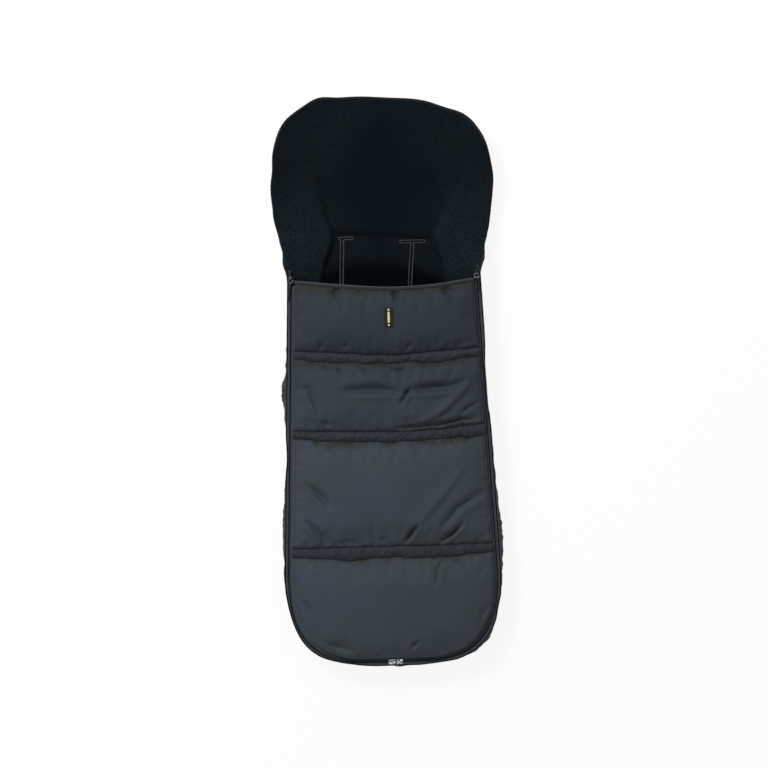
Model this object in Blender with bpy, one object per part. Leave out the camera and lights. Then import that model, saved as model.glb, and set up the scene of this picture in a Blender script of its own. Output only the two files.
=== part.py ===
# Stroller footmuff, lying on its back with the hood end at +Y and its open side up.
# Sizes are in metres, and the origin is under the middle of the whole footmuff.

import math

import bmesh
import bpy
from mathutils import Matrix, Vector

# Lengths down the footmuff, from the hood end to the foot end
HEAD_LENGTH = 0.233
OPEN_SEAT_LENGTH = 0.085
PANEL_1_LENGTH = 0.1205
PANEL_2_LENGTH = 0.120
PANEL_3_LENGTH = 0.186
FOOT_LENGTH = 0.1845
BAND_LENGTH = 0.017

# Outline: the hood, and the line of the two zips
HOOD_WIDTH = 0.385
HOOD_FLAT_WIDTH = 0.140
HOOD_CORNER_DEPTH = 0.160
HOOD_CORNER_POWER = 2.5
WAIST_DROP = 0.065
FLARE_LENGTH = 0.108
ZIP_TOP_WIDTH = 0.320
ZIP_FOOT_WIDTH = 0.3592
FOOT_FLAT_WIDTH = 0.072
FOOT_CORNER_DEPTH = 0.1565
FOOT_CORNER_POWER = 2.78

# Cloth layers of the back, and the clearance between layers that lie on each other
FIT = 0.0003
SHELL_THICKNESS = 0.002
WADDING_THICKNESS = 0.0134
FLEECE_THICKNESS = 0.004

# Hood: how far its sides and its end curl up, and how thin its edge is
HOOD_SIDE_LIFT = 0.022
HOOD_END_LIFT = 0.012
HOOD_CENTRE_WIDTH = 0.165
HOOD_EDGE_THICKNESS = 0.008
HOOD_EDGE_TAPER = 0.055
HOOD_SIDE_POWER = 1.5
HOOD_RISE_SHARE = 0.333
HOOD_SPREAD_SHARE = 0.333
RIM_WIDTH = 0.006

# Side wall between the back and the zip
GUSSET_MARGIN = 0.007
GUSSET_THICKNESS = 0.0018
GUSSET_BULGE = 0.0045
GUSSET_END_HEIGHT = 0.006
GUSSET_END_GAP = 0.014
GUSSET_LINING_THICKNESS = 0.0025
GUSSET_LINING_GAP = 0.0007

# Zip: half a chain on its tape, with a gap between the halves for the slider's blade
ZIP_HEIGHT = 0.056
CHAIN_GAP = 0.0014
CHAIN_WIDTH = 0.0022
CHAIN_HEIGHT = 0.0024
TAPE_THICKNESS = 0.0008
ZIP_END_RISE = 0.020
APRON_CHAIN_DROP = 0.003
STOP_LENGTH = 0.0035

# Apron
APRON_MARGIN = 0.007
APRON_LINING_THICKNESS = 0.003
APRON_EDGE_THICKNESS = 0.006
APRON_EDGE_DROP = 0.001
APRON_ARCH = 0.008
PANEL_CROWN = 0.012
CROWN_ACROSS_POWER = 3.2
CROWN_ALONG_POWER = 2.6
CROWN_POWER = 0.8
BINDING_LENGTH = 0.007
BAND_THICKNESS = 0.0045
BAND_RUCHE = 0.0011
RUCHE_PITCH = 0.0165
RUCHE_SEAM_SHARE = 0.4
FOLD_AXIS_CLEARANCE = 0.0015

# Harness slots
SLOT_SPACING = 0.120
SLOT_DRIFT = 0.010
SLOT_TOP_DROP = 0.009
SLOT_BAR_WIDTH = 0.040
SLOT_BAR_OPENING = 0.005
SLOT_STEM_WIDTH = 0.006
SLOT_STEM_LENGTH = 0.215
CROTCH_SLOT_DROP = 0.285
CROTCH_SLOT_WIDTH = 0.050
CROTCH_SLOT_OPENING = 0.010
SLOT_BINDING_WALL = 0.0016
SLOT_BINDING_PROUD = 0.0010
SLOT_BINDING_LIFT = 0.0006

# Zip sliders and pulls
SLIDER_LENGTH = 0.012
SLIDER_WIDTH = 0.0084
PLATE_THICKNESS = 0.001
SLIDER_ROOM = 0.0003
BLADE_WIDTH = 0.0008
LIP_WIDTH = 0.0009
LIP_OPENING = 0.0018
SLIDER_REST_GAP = 0.0015
FOOT_SLIDER_GAP = 0.001
BRIDGE_LENGTH = 0.008
BRIDGE_HEIGHT = 0.0031
BRIDGE_STRAP = 0.001
BRIDGE_FOOT = 0.0015
BRIDGE_WIDTH = 0.0018
LINK_WIDTH = 0.0068
LINK_LENGTH = 0.0078
LINK_BAR = 0.0011
LINK_ARM = 0.001
PULL_YAW = math.radians(9)
GRIP_LENGTH = 0.028
GRIP_NARROW = 0.0034
GRIP_WIDE = 0.0044
GRIP_THICKNESS = 0.0018
GRIP_BULGE_SHARE = 0.8

# Plain badge on the first panel
BADGE_OFFSET = 0.006
BADGE_DROP = 0.063
BADGE_TAB_WIDTH = 0.016
BADGE_TAB_LENGTH = 0.034
BADGE_TAB_THICKNESS = 0.0012
BADGE_CLEARANCE = 0.0006
BADGE_BAR_LENGTH = 0.019
BADGE_BAR_DIAMETER = 0.005
BAR_BARREL_SHARE = 0.85
BAR_END_SHARE = 0.7
BADGE_STUD_DIAMETER = 0.004
BADGE_STUD_HEIGHT = 0.0014
BADGE_STUD_SPACING = 0.026

# Mesh density
CORNER_STEPS = 9
HOOD_COLUMNS = 12
HOOD_SIDE_STEPS = 5
PANEL_STEPS = 8
PANEL_COLUMNS = 14
BINDING_COLUMNS = 10
LINING_COLUMNS = 8
ROUND_SIDES = 10
RIM_SIDES = 8
SHARP_ANGLE = math.radians(35)
CUT_OVERRUN = 0.002

# Places worked out from the sizes above
LENGTH = (HEAD_LENGTH + OPEN_SEAT_LENGTH + PANEL_1_LENGTH + PANEL_2_LENGTH
          + PANEL_3_LENGTH + 3 * BAND_LENGTH + FOOT_LENGTH)
HEAD_Y = LENGTH / 2
CREASE_Y = HEAD_Y - HEAD_LENGTH
APRON_TOP_Y = CREASE_Y - OPEN_SEAT_LENGTH
BAND_1_Y = APRON_TOP_Y - PANEL_1_LENGTH - BAND_LENGTH / 2
BAND_2_Y = BAND_1_Y - PANEL_2_LENGTH - BAND_LENGTH
BAND_3_Y = BAND_2_Y - PANEL_3_LENGTH - BAND_LENGTH
ZIP_FOOT_Y = GUSSET_MARGIN - HEAD_Y
FOOT_MIDDLE = (0.0, ZIP_FOOT_Y)
FOOT_GUSSET_Y = BAND_3_Y - BAND_LENGTH
FOOT_CURVE_Y = ZIP_FOOT_Y + FOOT_CORNER_DEPTH
WAIST_Y = CREASE_Y - WAIST_DROP
WIDEST_Y = HEAD_Y - HOOD_CORNER_DEPTH
ZIP_TILT = math.atan((ZIP_FOOT_WIDTH - ZIP_TOP_WIDTH) / 2 / (APRON_TOP_Y - FOOT_CURVE_Y))

PAD_TOP = SHELL_THICKNESS + WADDING_THICKNESS + FLEECE_THICKNESS + 2 * FIT
FLEECE_LOW = PAD_TOP - FLEECE_THICKNESS
PANEL_BASE = ZIP_HEIGHT - APRON_EDGE_DROP
APRON_LINING_LOW = PANEL_BASE - FIT - APRON_LINING_THICKNESS
FOLD_AXIS_Z = PANEL_BASE + APRON_ARCH + APRON_EDGE_THICKNESS + PANEL_CROWN + FOLD_AXIS_CLEARANCE


def smooth(share):
    share = min(max(share, 0.0), 1.0)
    return share * share * (3 - 2 * share)


# Materials and objects


def linear(level):
    share = level / 255
    return share / 12.92 if share <= 0.04045 else ((share + 0.055) / 1.055) ** 2.4


def paint(obj, colour, roughness, metallic=0.0):
    material = bpy.data.materials.new(obj.name)
    material.use_nodes = True
    shader = material.node_tree.nodes["Principled BSDF"]
    shader.inputs["Base Color"].default_value = (*[linear(level) for level in colour], 1.0)
    shader.inputs["Roughness"].default_value = roughness
    shader.inputs["Metallic"].default_value = metallic
    obj.data.materials.append(material)


CHARCOAL = (57, 64, 69)
BAND_CHARCOAL = (42, 47, 53)
NAVY_FLEECE = (17, 23, 27)
DARK_SHELL = (34, 38, 43)
TAPE_GREY = (60, 65, 70)
BLACK_BRAID = (24, 27, 31)
WADDING_WHITE = (214, 214, 208)
NICKEL = (190, 192, 196)
PALE_GOLD = (214, 196, 150)
BLACK_GRIP = (20, 21, 24)

CLOTH = {"roughness": 0.85}
METAL = {"roughness": 0.3, "metallic": 1.0}


def axis_empty(name, place):
    empty = bpy.data.objects.new(name, None)
    empty.location = place
    bpy.context.scene.collection.objects.link(empty)
    return empty


def hang(obj, parent, place):
    # The child's mesh is in world coordinates, and the parent only moves it.
    obj.parent = parent
    obj.matrix_parent_inverse = Matrix.Translation(Vector(place)).inverted()


def split_quad(mesh, a, b, c, d):
    # The diagonal always runs the same way across and up, so layers that lie on each other match.
    if a.co.x + a.co.z > b.co.x + b.co.z:
        a, b, c, d = b, a, d, c
    mesh.faces.new((a, b, c))
    mesh.faces.new((a, c, d))


def loft(name, rings, closed=False):
    # A closed body through rings of equal count, with a face over each end ring.
    mesh = bmesh.new()
    rows = [[mesh.verts.new(point) for point in ring] for ring in rings]
    count = len(rows[0])
    pairs = list(zip(rows, rows[1:]))
    if closed:
        pairs.append((rows[-1], rows[0]))
    for first, second in pairs:
        for i in range(count):
            split_quad(mesh, first[i], first[(i + 1) % count], second[(i + 1) % count], second[i])
    if not closed:
        mesh.faces.new(rows[0])
        mesh.faces.new(rows[-1])
    bmesh.ops.recalc_face_normals(mesh, faces=mesh.faces)
    data = bpy.data.meshes.new(name)
    mesh.to_mesh(data)
    mesh.free()
    data.shade_smooth()
    data.set_sharp_from_angle(angle=SHARP_ANGLE)
    obj = bpy.data.objects.new(name, data)
    bpy.context.scene.collection.objects.link(obj)
    return obj


def plate(name, outline, low, high):
    return loft(name, [[(x, y, z) for x, y in outline] for z in (low, high)])


def slab(name, rows, columns, low, high):
    # A sheet between two height functions; each row is a place along Y and its half width.
    rings = []
    for y, half in rows:
        across = [half * (2 * i / columns - 1) for i in range(columns + 1)]
        upper = [(x, y, high(x, y)) for x in across]
        lower = [(x, y, low(x, y)) for x in reversed(across)]
        rings.append(upper + lower)
    return loft(name, rings)


def make_cutter(obj):
    obj.hide_render = True
    obj.display_type = "WIRE"
    return obj


def boolean(obj, other, operation):
    modifier = obj.modifiers.new(other.name, "BOOLEAN")
    modifier.operation = operation
    modifier.solver = "EXACT"
    modifier.object = other


# Outline of the footmuff


def corner(flat, width, depth, power):
    # A rounded corner from its side at (width, 0) to its end at (flat, depth).
    points = []
    for i in range(CORNER_STEPS + 1):
        angle = math.pi / 2 * i / CORNER_STEPS
        across = flat + (width - flat) * math.cos(angle) ** (2 / power)
        along = depth * math.sin(angle) ** (2 / power)
        points.append((across, along))
    return points


def zip_half(y):
    # Half the width between the two zips: straight beside the apron, then out to the hood.
    down = (APRON_TOP_Y - min(y, WAIST_Y)) / (APRON_TOP_Y - FOOT_CURVE_Y)
    straight = (ZIP_TOP_WIDTH + (ZIP_FOOT_WIDTH - ZIP_TOP_WIDTH) * down) / 2
    flare = smooth((y - WAIST_Y) / FLARE_LENGTH)
    return straight + (HOOD_WIDTH / 2 - GUSSET_MARGIN - straight) * flare


def with_normals(points):
    # Each place on a right-hand line that runs down, with its outward direction.
    places = []
    for i, (x, y) in enumerate(points):
        x0, y0 = points[max(i - 1, 0)]
        x1, y1 = points[min(i + 1, len(points) - 1)]
        run = math.hypot(x1 - x0, y1 - y0)
        places.append((x, y, (y0 - y1) / run, (x1 - x0) / run))
    return places


def side_line(top, low, steps):
    levels = [top + (low - top) * i / steps for i in range(steps + 1)]
    return [(zip_half(y), y) for y in levels]


def foot_line():
    rounded = corner(FOOT_FLAT_WIDTH / 2, ZIP_FOOT_WIDTH / 2, FOOT_CORNER_DEPTH, FOOT_CORNER_POWER)
    return [(x, FOOT_CURVE_Y - down) for x, down in rounded[1:]]


def mirrored(places):
    return [(-x, y, -nx, ny) for x, y, nx, ny in places]


def across_foot(places):
    # The right half of a line that ends at the middle of the foot, carried on up the left.
    return places + mirrored(reversed(places[:-1]))


def offset(places, out):
    return [(x + nx * out, y + ny * out) for x, y, nx, ny in places]


def sweep(name, places, profile):
    rings = []
    for x, y, nx, ny in places:
        rings.append([(x + nx * out, y + ny * out, z) for out, z in profile(y)])
    return loft(name, rings)


# Back of the seat: outer shell, wadding and fleece, with the harness slots through them


def back_outline(out):
    top = CREASE_Y - FIT / 2
    right = with_normals(side_line(top, WAIST_Y, 5) + side_line(WAIST_Y, FOOT_CURVE_Y, 4)[1:]
                         + foot_line() + [FOOT_MIDDLE])
    points = offset(across_foot(right), out)
    points[0] = (points[0][0], top)
    points[-1] = (points[-1][0], top)
    return points


def back_layers():
    inner = GUSSET_MARGIN - SHELL_THICKNESS
    outer_line = back_outline(GUSSET_MARGIN)
    inner_line = back_outline(inner)
    filled_line = back_outline(inner - FIT)
    for line, drop in ((inner_line, SHELL_THICKNESS), (filled_line, SHELL_THICKNESS + FIT)):
        line[0] = (line[0][0], line[0][1] - drop)
        line[-1] = (line[-1][0], line[-1][1] - drop)
    rings = [
        [(x, y, 0.0) for x, y in outer_line],
        [(x, y, PAD_TOP) for x, y in outer_line],
        [(x, y, PAD_TOP) for x, y in inner_line],
        [(x, y, SHELL_THICKNESS) for x, y in inner_line],
    ]
    shell = loft("seat_shell", rings)
    paint(shell, DARK_SHELL, **CLOTH)
    wadding = plate("seat_wadding", filled_line, SHELL_THICKNESS + FIT, FLEECE_LOW - FIT)
    paint(wadding, WADDING_WHITE, **CLOTH)
    fleece = plate("seat_fleece", filled_line, FLEECE_LOW, PAD_TOP)
    paint(fleece, NAVY_FLEECE, **CLOTH)
    return shell, wadding, fleece


def t_outline(x, top, wall):
    # The T of a harness slot: a cross bar with a long stem under it, grown by the wall.
    bar = SLOT_BAR_WIDTH / 2 + wall
    stem = SLOT_STEM_WIDTH / 2 + wall
    high = top + wall
    shoulder = top - SLOT_BAR_OPENING - wall
    low = top - SLOT_BAR_OPENING - SLOT_STEM_LENGTH - wall
    return [(x - bar, high), (x - bar, shoulder), (x - stem, shoulder), (x - stem, low),
            (x + stem, low), (x + stem, shoulder), (x + bar, shoulder), (x + bar, high)]


def crotch_outline(x, top, wall):
    half = CROTCH_SLOT_WIDTH / 2 + wall
    low = top - CROTCH_SLOT_OPENING - wall
    return [(x - half, top + wall), (x - half, low), (x + half, low), (x + half, top + wall)]


def bound_slot(name, outline, x, top, layers):
    # A binding that lines the slot through the whole pad, and the cut that it sits in.
    inner = outline(x, top, 0.0)
    outer = outline(x, top, SLOT_BINDING_WALL)
    low = SLOT_BINDING_LIFT
    high = PAD_TOP + SLOT_BINDING_PROUD
    rings = [[(px, py, z) for px, py in line]
             for line, z in ((outer, low), (outer, high), (inner, high), (inner, low))]
    binding = loft(name + "_binding", rings, closed=True)
    paint(binding, BLACK_BRAID, roughness=0.45)
    hole = outline(x, top, SLOT_BINDING_WALL + FIT)
    cutter = make_cutter(plate(name + "_cutter", hole, -CUT_OVERRUN, PAD_TOP + CUT_OVERRUN))
    for layer in layers:
        boolean(layer, cutter, "DIFFERENCE")


def seat_back():
    layers = back_layers()
    slot_top = CREASE_Y - SLOT_TOP_DROP
    for side, sign in (("left", -1), ("right", 1)):
        x = sign * SLOT_SPACING / 2 - SLOT_DRIFT
        bound_slot("harness_slot_" + side, t_outline, x, slot_top, layers)
    bound_slot("crotch_slot", crotch_outline, 0.0, CREASE_Y - CROTCH_SLOT_DROP, layers)


# Hood: a shallow scoop that tilts at the hip crease


def hood_half(y):
    if y <= WIDEST_Y:
        return zip_half(y) + GUSSET_MARGIN
    up = min((y - WIDEST_Y) / HOOD_CORNER_DEPTH, 1.0)
    flat = HOOD_FLAT_WIDTH / 2
    return flat + (HOOD_WIDTH / 2 - flat) * (1 - up ** HOOD_CORNER_POWER) ** (1 / HOOD_CORNER_POWER)


def hood_rise():
    # The length over which the hood grows out of the crease.
    return HEAD_LENGTH * HOOD_RISE_SHARE


def hood_top(x, y):
    above = y - CREASE_Y
    centre = HOOD_CENTRE_WIDTH / 2 * (1 + HOOD_SPREAD_SHARE * smooth(above / HEAD_LENGTH))
    half = HOOD_WIDTH / 2
    out = min(max((abs(x) - centre) / (half - centre), 0.0), 1.0)
    sides = HOOD_SIDE_LIFT * smooth(above / (2 * hood_rise())) * out ** HOOD_SIDE_POWER
    end = HOOD_END_LIFT * smooth((y - WIDEST_Y) / HOOD_CORNER_DEPTH)
    return PAD_TOP + sides + end


def hood_thickness(x, y):
    inward = min(hood_half(y) - abs(x), HEAD_Y - y)
    near = 1 - smooth(inward / HOOD_EDGE_TAPER)
    near *= smooth((y - CREASE_Y) / hood_rise())
    return PAD_TOP - (PAD_TOP - HOOD_EDGE_THICKNESS) * near


def hood_under(x, y):
    return hood_top(x, y) - hood_thickness(x, y)


def hood_outline():
    # Places up the right side and round to the middle of the end, with outward directions.
    levels = [CREASE_Y + FIT / 2 + (WIDEST_Y - CREASE_Y) * i / HOOD_SIDE_STEPS
              for i in range(HOOD_SIDE_STEPS + 1)]
    sides = [(hood_half(y), y) for y in levels]
    rounded = corner(HOOD_FLAT_WIDTH / 2, HOOD_WIDTH / 2, HOOD_CORNER_DEPTH, HOOD_CORNER_POWER)
    ends = [(x, WIDEST_Y + up) for x, up in rounded[1:]]
    places = []
    for x, y, nx, ny in with_normals(sides + ends + [(0.0, HEAD_Y)]):
        places.append((x, y, -nx, -ny))
    return places


def hood_rows(inset):
    rows = []
    places = hood_outline()
    for (x, y), (edge_x, edge_y, nx, _) in zip(offset(places[:-1], -inset), places):
        rows.append((y, x) if edge_y > WIDEST_Y else (edge_y, edge_x - inset / nx))
    rows[0] = (CREASE_Y + FIT / 2, rows[0][1])
    return rows


def hood(parent):
    rows = hood_rows(RIM_WIDTH + FIT)
    shell = slab("head_shell", rows, HOOD_COLUMNS, hood_under,
                 lambda x, y: hood_under(x, y) + SHELL_THICKNESS)
    paint(shell, DARK_SHELL, **CLOTH)
    wadding = slab("head_wadding", rows, HOOD_COLUMNS,
                   lambda x, y: hood_under(x, y) + SHELL_THICKNESS + FIT,
                   lambda x, y: hood_top(x, y) - FLEECE_THICKNESS - FIT)
    paint(wadding, WADDING_WHITE, **CLOTH)
    fleece = slab("head_fleece", rows, HOOD_COLUMNS,
                  lambda x, y: hood_top(x, y) - FLEECE_THICKNESS, hood_top)
    paint(fleece, NAVY_FLEECE, **CLOTH)
    rim = rim_binding()
    for obj in (shell, wadding, fleece, rim):
        hang(obj, parent, (0.0, CREASE_Y, PAD_TOP))


def rim_binding():
    rings = []
    for x, y, nx, ny in across_foot(hood_outline()):
        x0 = x - nx * RIM_WIDTH / 2
        y0 = y - ny * RIM_WIDTH / 2
        y0 = max(y0, CREASE_Y + FIT / 2)
        low = hood_under(x0, y0)
        middle = (low + hood_top(x0, y0)) / 2
        corners = math.cos(math.pi / RIM_SIDES)
        ring = []
        for i in range(RIM_SIDES):
            angle = math.tau * (i + 0.5) / RIM_SIDES
            out = RIM_WIDTH / 2 * math.cos(angle) / corners
            up = (middle - low) * math.sin(angle) / corners
            ring.append((x0 + nx * out, y0 + ny * out * (y > CREASE_Y + FIT), middle + up))
        rings.append(ring)
    rim = loft("rim_binding", rings)
    paint(rim, BLACK_BRAID, **CLOTH)
    return rim


# Side walls: outer cloth with its lining, round the foot in three lengths


def gusset_top(y):
    end = CREASE_Y - GUSSET_END_GAP
    fall = smooth((y - WAIST_Y) / (end - WAIST_Y))
    full = ZIP_HEIGHT + TAPE_THICKNESS / 2
    return full + (PAD_TOP + GUSSET_END_HEIGHT - full) * fall


def gusset_bulge(y):
    down = min(max((WAIST_Y - y) / (WAIST_Y - ZIP_FOOT_Y), 0.0), 1.0)
    return GUSSET_BULGE * math.sin(math.pi * down ** 2)


def wall_profile(y, rise, out, thickness):
    # A thin wall up from the back, through the first quarters of the side wall's curve.
    low = PAD_TOP + FIT
    whole = gusset_top(y) - low
    outer = []
    for quarter in range(rise + 1):
        swell = gusset_bulge(y) * math.sin(math.pi * quarter / 4)
        outer.append((out + swell, low + whole * quarter / 4))
    return outer + [(n - thickness, z) for n, z in reversed(outer)]


def gusset_profile(y):
    return wall_profile(y, 4, GUSSET_MARGIN, GUSSET_THICKNESS)


def gusset_lining_profile(y):
    # Three quarters of the wall's height, which leaves room for the slider above it.
    out = GUSSET_MARGIN - GUSSET_THICKNESS - GUSSET_LINING_GAP
    return wall_profile(y, 3, out, GUSSET_LINING_THICKNESS)


def gussets():
    end = CREASE_Y - GUSSET_END_GAP
    lined = side_line(WAIST_Y, FOOT_GUSSET_Y, 9)
    side = side_line(end, WAIST_Y, 4) + lined[1:]
    foot = [(zip_half(y), y) for y in (FOOT_GUSSET_Y - FIT, FOOT_CURVE_Y)] + foot_line()
    foot_places = across_foot(with_normals(foot + [FOOT_MIDDLE]))
    for name, line, profile, colour in (
        ("gusset", side, gusset_profile, DARK_SHELL),
        ("gusset_lining", lined, gusset_lining_profile, NAVY_FLEECE),
    ):
        right = with_normals(line)
        paint(sweep(name + "_right", right, profile), colour, **CLOTH)
        paint(sweep(name + "_left", mirrored(right), profile), colour, **CLOTH)
        paint(sweep(name + "_foot", foot_places, profile), colour, **CLOTH)


# Zips: half a chain with its tape on the side wall, and the other half on the apron


def chain_profile(sign, tape_end):
    near = CHAIN_GAP / 2
    far = near + CHAIN_WIDTH
    chain = CHAIN_HEIGHT / 2
    tape = TAPE_THICKNESS / 2
    points = [(tape_end, -tape), (far, -tape), (far, -chain), (near, -chain),
              (near, chain), (far, chain), (far, tape), (tape_end, tape)]
    return [(sign * out, ZIP_HEIGHT + up) for out, up in points]


def gusset_chain(_):
    return chain_profile(1, GUSSET_MARGIN - GUSSET_THICKNESS - FIT)


def apron_chain(_):
    return chain_profile(-1, APRON_MARGIN - FIT)


def half_zip(name, places, profile):
    # The same length of zip on both sides.
    for side, line in (("right", places), ("left", mirrored(places))):
        paint(sweep(name + "_" + side, line, profile), TAPE_GREY, roughness=0.6)


def foot_chain(top, steps):
    half_gap = FIT / 2
    line = side_line(top, FOOT_CURVE_Y, steps) + foot_line() + [(half_gap, ZIP_FOOT_Y)]
    return with_normals(line)


def gusset_zips():
    top = APRON_TOP_Y + ZIP_END_RISE
    half_zip("gusset_zip", foot_chain(top, 4), gusset_chain)
    stop = side_line(top + FIT + STOP_LENGTH, top + FIT, 1)
    near = CHAIN_GAP / 2
    wide = GUSSET_MARGIN - GUSSET_THICKNESS - FIT
    tall = CHAIN_HEIGHT / 2
    corners = [(near, -tall), (wide, -tall), (wide, tall), (near, tall)]
    for side, line in (("right", with_normals(stop)), ("left", mirrored(with_normals(stop)))):
        block = sweep("zip_stop_" + side, line, lambda _: [(n, ZIP_HEIGHT + z) for n, z in corners])
        paint(block, NICKEL, **METAL)


# Apron: four padded panels with three gathered bands between them


def apron_half(y):
    return zip_half(y) - APRON_MARGIN


def arch(x):
    half = ZIP_FOOT_WIDTH / 2
    return APRON_ARCH * (1 - min(abs(x) / half, 1.0) ** 2)


def panel_under(x, y):
    return PANEL_BASE + arch(x)


def panel_height(top, low, half_at=apron_half):
    # Height of a panel's upper face: full in the middle and drawn in at its seams.
    middle = (top + low) / 2
    reach = (top - low) / 2

    def height(x, y):
        across = min(abs(x) / half_at(y), 1.0)
        along = min(abs(y - middle) / reach, 1.0)
        full = (1 - across ** CROWN_ACROSS_POWER) * (1 - along ** CROWN_ALONG_POWER)
        return panel_under(x, y) + APRON_EDGE_THICKNESS + PANEL_CROWN * full ** CROWN_POWER

    return height


def even_rows(top, low, steps):
    levels = [top + (low - top) * i / steps for i in range(steps + 1)]
    return [(y, apron_half(y)) for y in levels]


def crown_rows(top, low, steps):
    # Rows set closer near the seams, where the panel falls off.
    levels = [(top + low) / 2 + (top - low) / 2 * math.cos(math.pi * i / steps)
              for i in range(steps + 1)]
    return [(y, apron_half(y)) for y in levels]


def foot_rows(inset):
    # Rows round the foot, from the start of its curve to its flat end.
    places = with_normals([(zip_half(FOOT_CURVE_Y), FOOT_CURVE_Y)] + foot_line() + [FOOT_MIDDLE])
    return [(y, x) for x, y in offset(places[1:-1], -inset)]


def lining_under(x, y):
    return APRON_LINING_LOW + arch(x)


def lining_over(x, y):
    return PANEL_BASE - FIT + arch(x)


def foot_panel_height():
    # The foot panel's crown, which follows the rounded foot.
    top = BAND_3_Y - BAND_LENGTH / 2
    low = ZIP_FOOT_Y + APRON_MARGIN
    rows = sorted(even_rows(top, FOOT_CURVE_Y, 1) + foot_rows(APRON_MARGIN))

    def half_at(y):
        for (y0, half0), (y1, half1) in zip(rows, rows[1:]):
            if y <= y1:
                share = max((y - y0) / (y1 - y0), 0.0)
                return half0 + (half1 - half0) * share
        return rows[-1][1]

    return panel_height(top, low, half_at)


def band(number, y, parent):
    top = y + BAND_LENGTH / 2
    low = y - BAND_LENGTH / 2
    columns = 2 * round(2 * apron_half(y) / RUCHE_PITCH)

    def ruched(x, level):
        wave = math.cos(math.tau * (x + level / 2) / RUCHE_PITCH)
        from_seam = 1 - (2 * (level - y) / BAND_LENGTH) ** 2
        depth = BAND_RUCHE * (RUCHE_SEAM_SHARE + (1 - RUCHE_SEAM_SHARE) * from_seam)
        return panel_under(x, level) + BAND_THICKNESS + depth * wave

    obj = slab("gathered_band_%d" % number, even_rows(top, low, 3), columns, panel_under, ruched)
    paint(obj, BAND_CHARCOAL, **CLOTH)
    if parent:
        hang(obj, *parent)


def lining(number, rows, parent):
    obj = slab("apron_lining_%d" % number, rows, LINING_COLUMNS, lining_under, lining_over)
    paint(obj, NAVY_FLEECE, **CLOTH)
    if parent:
        hang(obj, *parent)


def flap(number, upper_band_y, lower_band_y, parent):
    # One folding length of apron: panel, lining and its two lengths of zip.
    low = lower_band_y + BAND_LENGTH / 2 + FIT
    if upper_band_y is None:
        panel_top = APRON_TOP_Y - BINDING_LENGTH - FIT
        lining_top = APRON_TOP_Y
        chain_top = APRON_TOP_Y - APRON_CHAIN_DROP
    else:
        panel_top = upper_band_y - BAND_LENGTH / 2 - FIT
        lining_top = upper_band_y + BAND_LENGTH / 2
        chain_top = lining_top
    surface = panel_height(panel_top, low)
    rows = crown_rows(panel_top, low, PANEL_STEPS)
    panel = slab("apron_panel_%d" % number, rows, PANEL_COLUMNS, panel_under, surface)
    paint(panel, CHARCOAL, **CLOTH)
    hang(panel, *parent)
    lining(number, even_rows(lining_top, low, 2), parent)
    places = with_normals(side_line(chain_top, low, 1))
    name = "apron_zip_%d" % number
    half_zip(name, places, apron_chain)
    for side in ("left", "right"):
        hang(bpy.data.objects[name + "_" + side], *parent)
    return surface


def top_binding(parent):
    # A flat folded edge along the top of the apron.
    rows = even_rows(APRON_TOP_Y, APRON_TOP_Y - BINDING_LENGTH, 1)
    obj = slab("apron_top_binding", rows, BINDING_COLUMNS, panel_under,
               lambda x, y: panel_under(x, y) + APRON_EDGE_THICKNESS)
    paint(obj, TAPE_GREY, **CLOTH)
    hang(obj, *parent)


def apron():
    places = {}
    for name, y in (("top", BAND_1_Y), ("middle", BAND_2_Y), ("foot", BAND_3_Y)):
        place = (0.0, y, FOLD_AXIS_Z)
        places[name] = (axis_empty("fold_axis_" + name, place), place)
    surface = flap(1, None, BAND_1_Y, places["top"])
    top_binding(places["top"])
    flap(2, BAND_1_Y, BAND_2_Y, places["middle"])
    band(1, BAND_1_Y, places["middle"])
    flap(3, BAND_2_Y, BAND_3_Y, places["foot"])
    band(2, BAND_2_Y, places["foot"])
    band(3, BAND_3_Y, None)
    top = BAND_3_Y - BAND_LENGTH / 2 - FIT
    rows = even_rows(top, FOOT_CURVE_Y, 1) + foot_rows(APRON_MARGIN)
    foot = slab("apron_panel_4", rows, PANEL_COLUMNS, panel_under, foot_panel_height())
    paint(foot, CHARCOAL, **CLOTH)
    band_top = BAND_3_Y + BAND_LENGTH / 2
    lining(4, even_rows(band_top, FOOT_CURVE_Y, 1) + foot_rows(APRON_MARGIN), None)
    half_zip("apron_zip_4", foot_chain(band_top, 2), apron_chain)
    return surface, places["top"]


# Sliders and pulls


def slider(name, place, turn):
    half = SLIDER_WIDTH / 2
    inside = half - LIP_WIDTH
    blade = BLADE_WIDTH / 2
    room = CHAIN_HEIGHT / 2 + SLIDER_ROOM
    skin = room + PLATE_THICKNESS
    lip = LIP_OPENING / 2
    quarter = [(half, skin), (half, lip), (inside, lip), (inside, room), (blade, room)]
    right = quarter + [(x, -z) for x, z in reversed(quarter)]
    section = right + [(-x, z) for x, z in reversed(right)]
    rings = [[(x, y, z) for x, z in section] for y in (-SLIDER_LENGTH / 2, SLIDER_LENGTH / 2)]
    body = loft(name, rings)
    outer = BRIDGE_LENGTH / 2
    top = skin + BRIDGE_HEIGHT
    sunk = skin - PLATE_THICKNESS / 2
    under = top - BRIDGE_STRAP
    shoulder = outer - BRIDGE_STRAP
    inner = shoulder - BRIDGE_STRAP
    foot = outer - BRIDGE_FOOT
    line = [(-outer, sunk), (-shoulder, top), (shoulder, top), (outer, sunk),
            (foot, sunk), (inner, under), (-inner, under), (-foot, sunk)]
    sides = (-BRIDGE_WIDTH / 2, BRIDGE_WIDTH / 2)
    bridge = make_cutter(loft(name + "_bridge", [[(x, y, z) for y, z in line] for x in sides]))
    boolean(body, bridge, "UNION")
    for obj in (body, bridge):
        obj.location = place
        obj.rotation_euler = (0.0, 0.0, turn)
    paint(body, NICKEL, **METAL)
    return body


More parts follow.
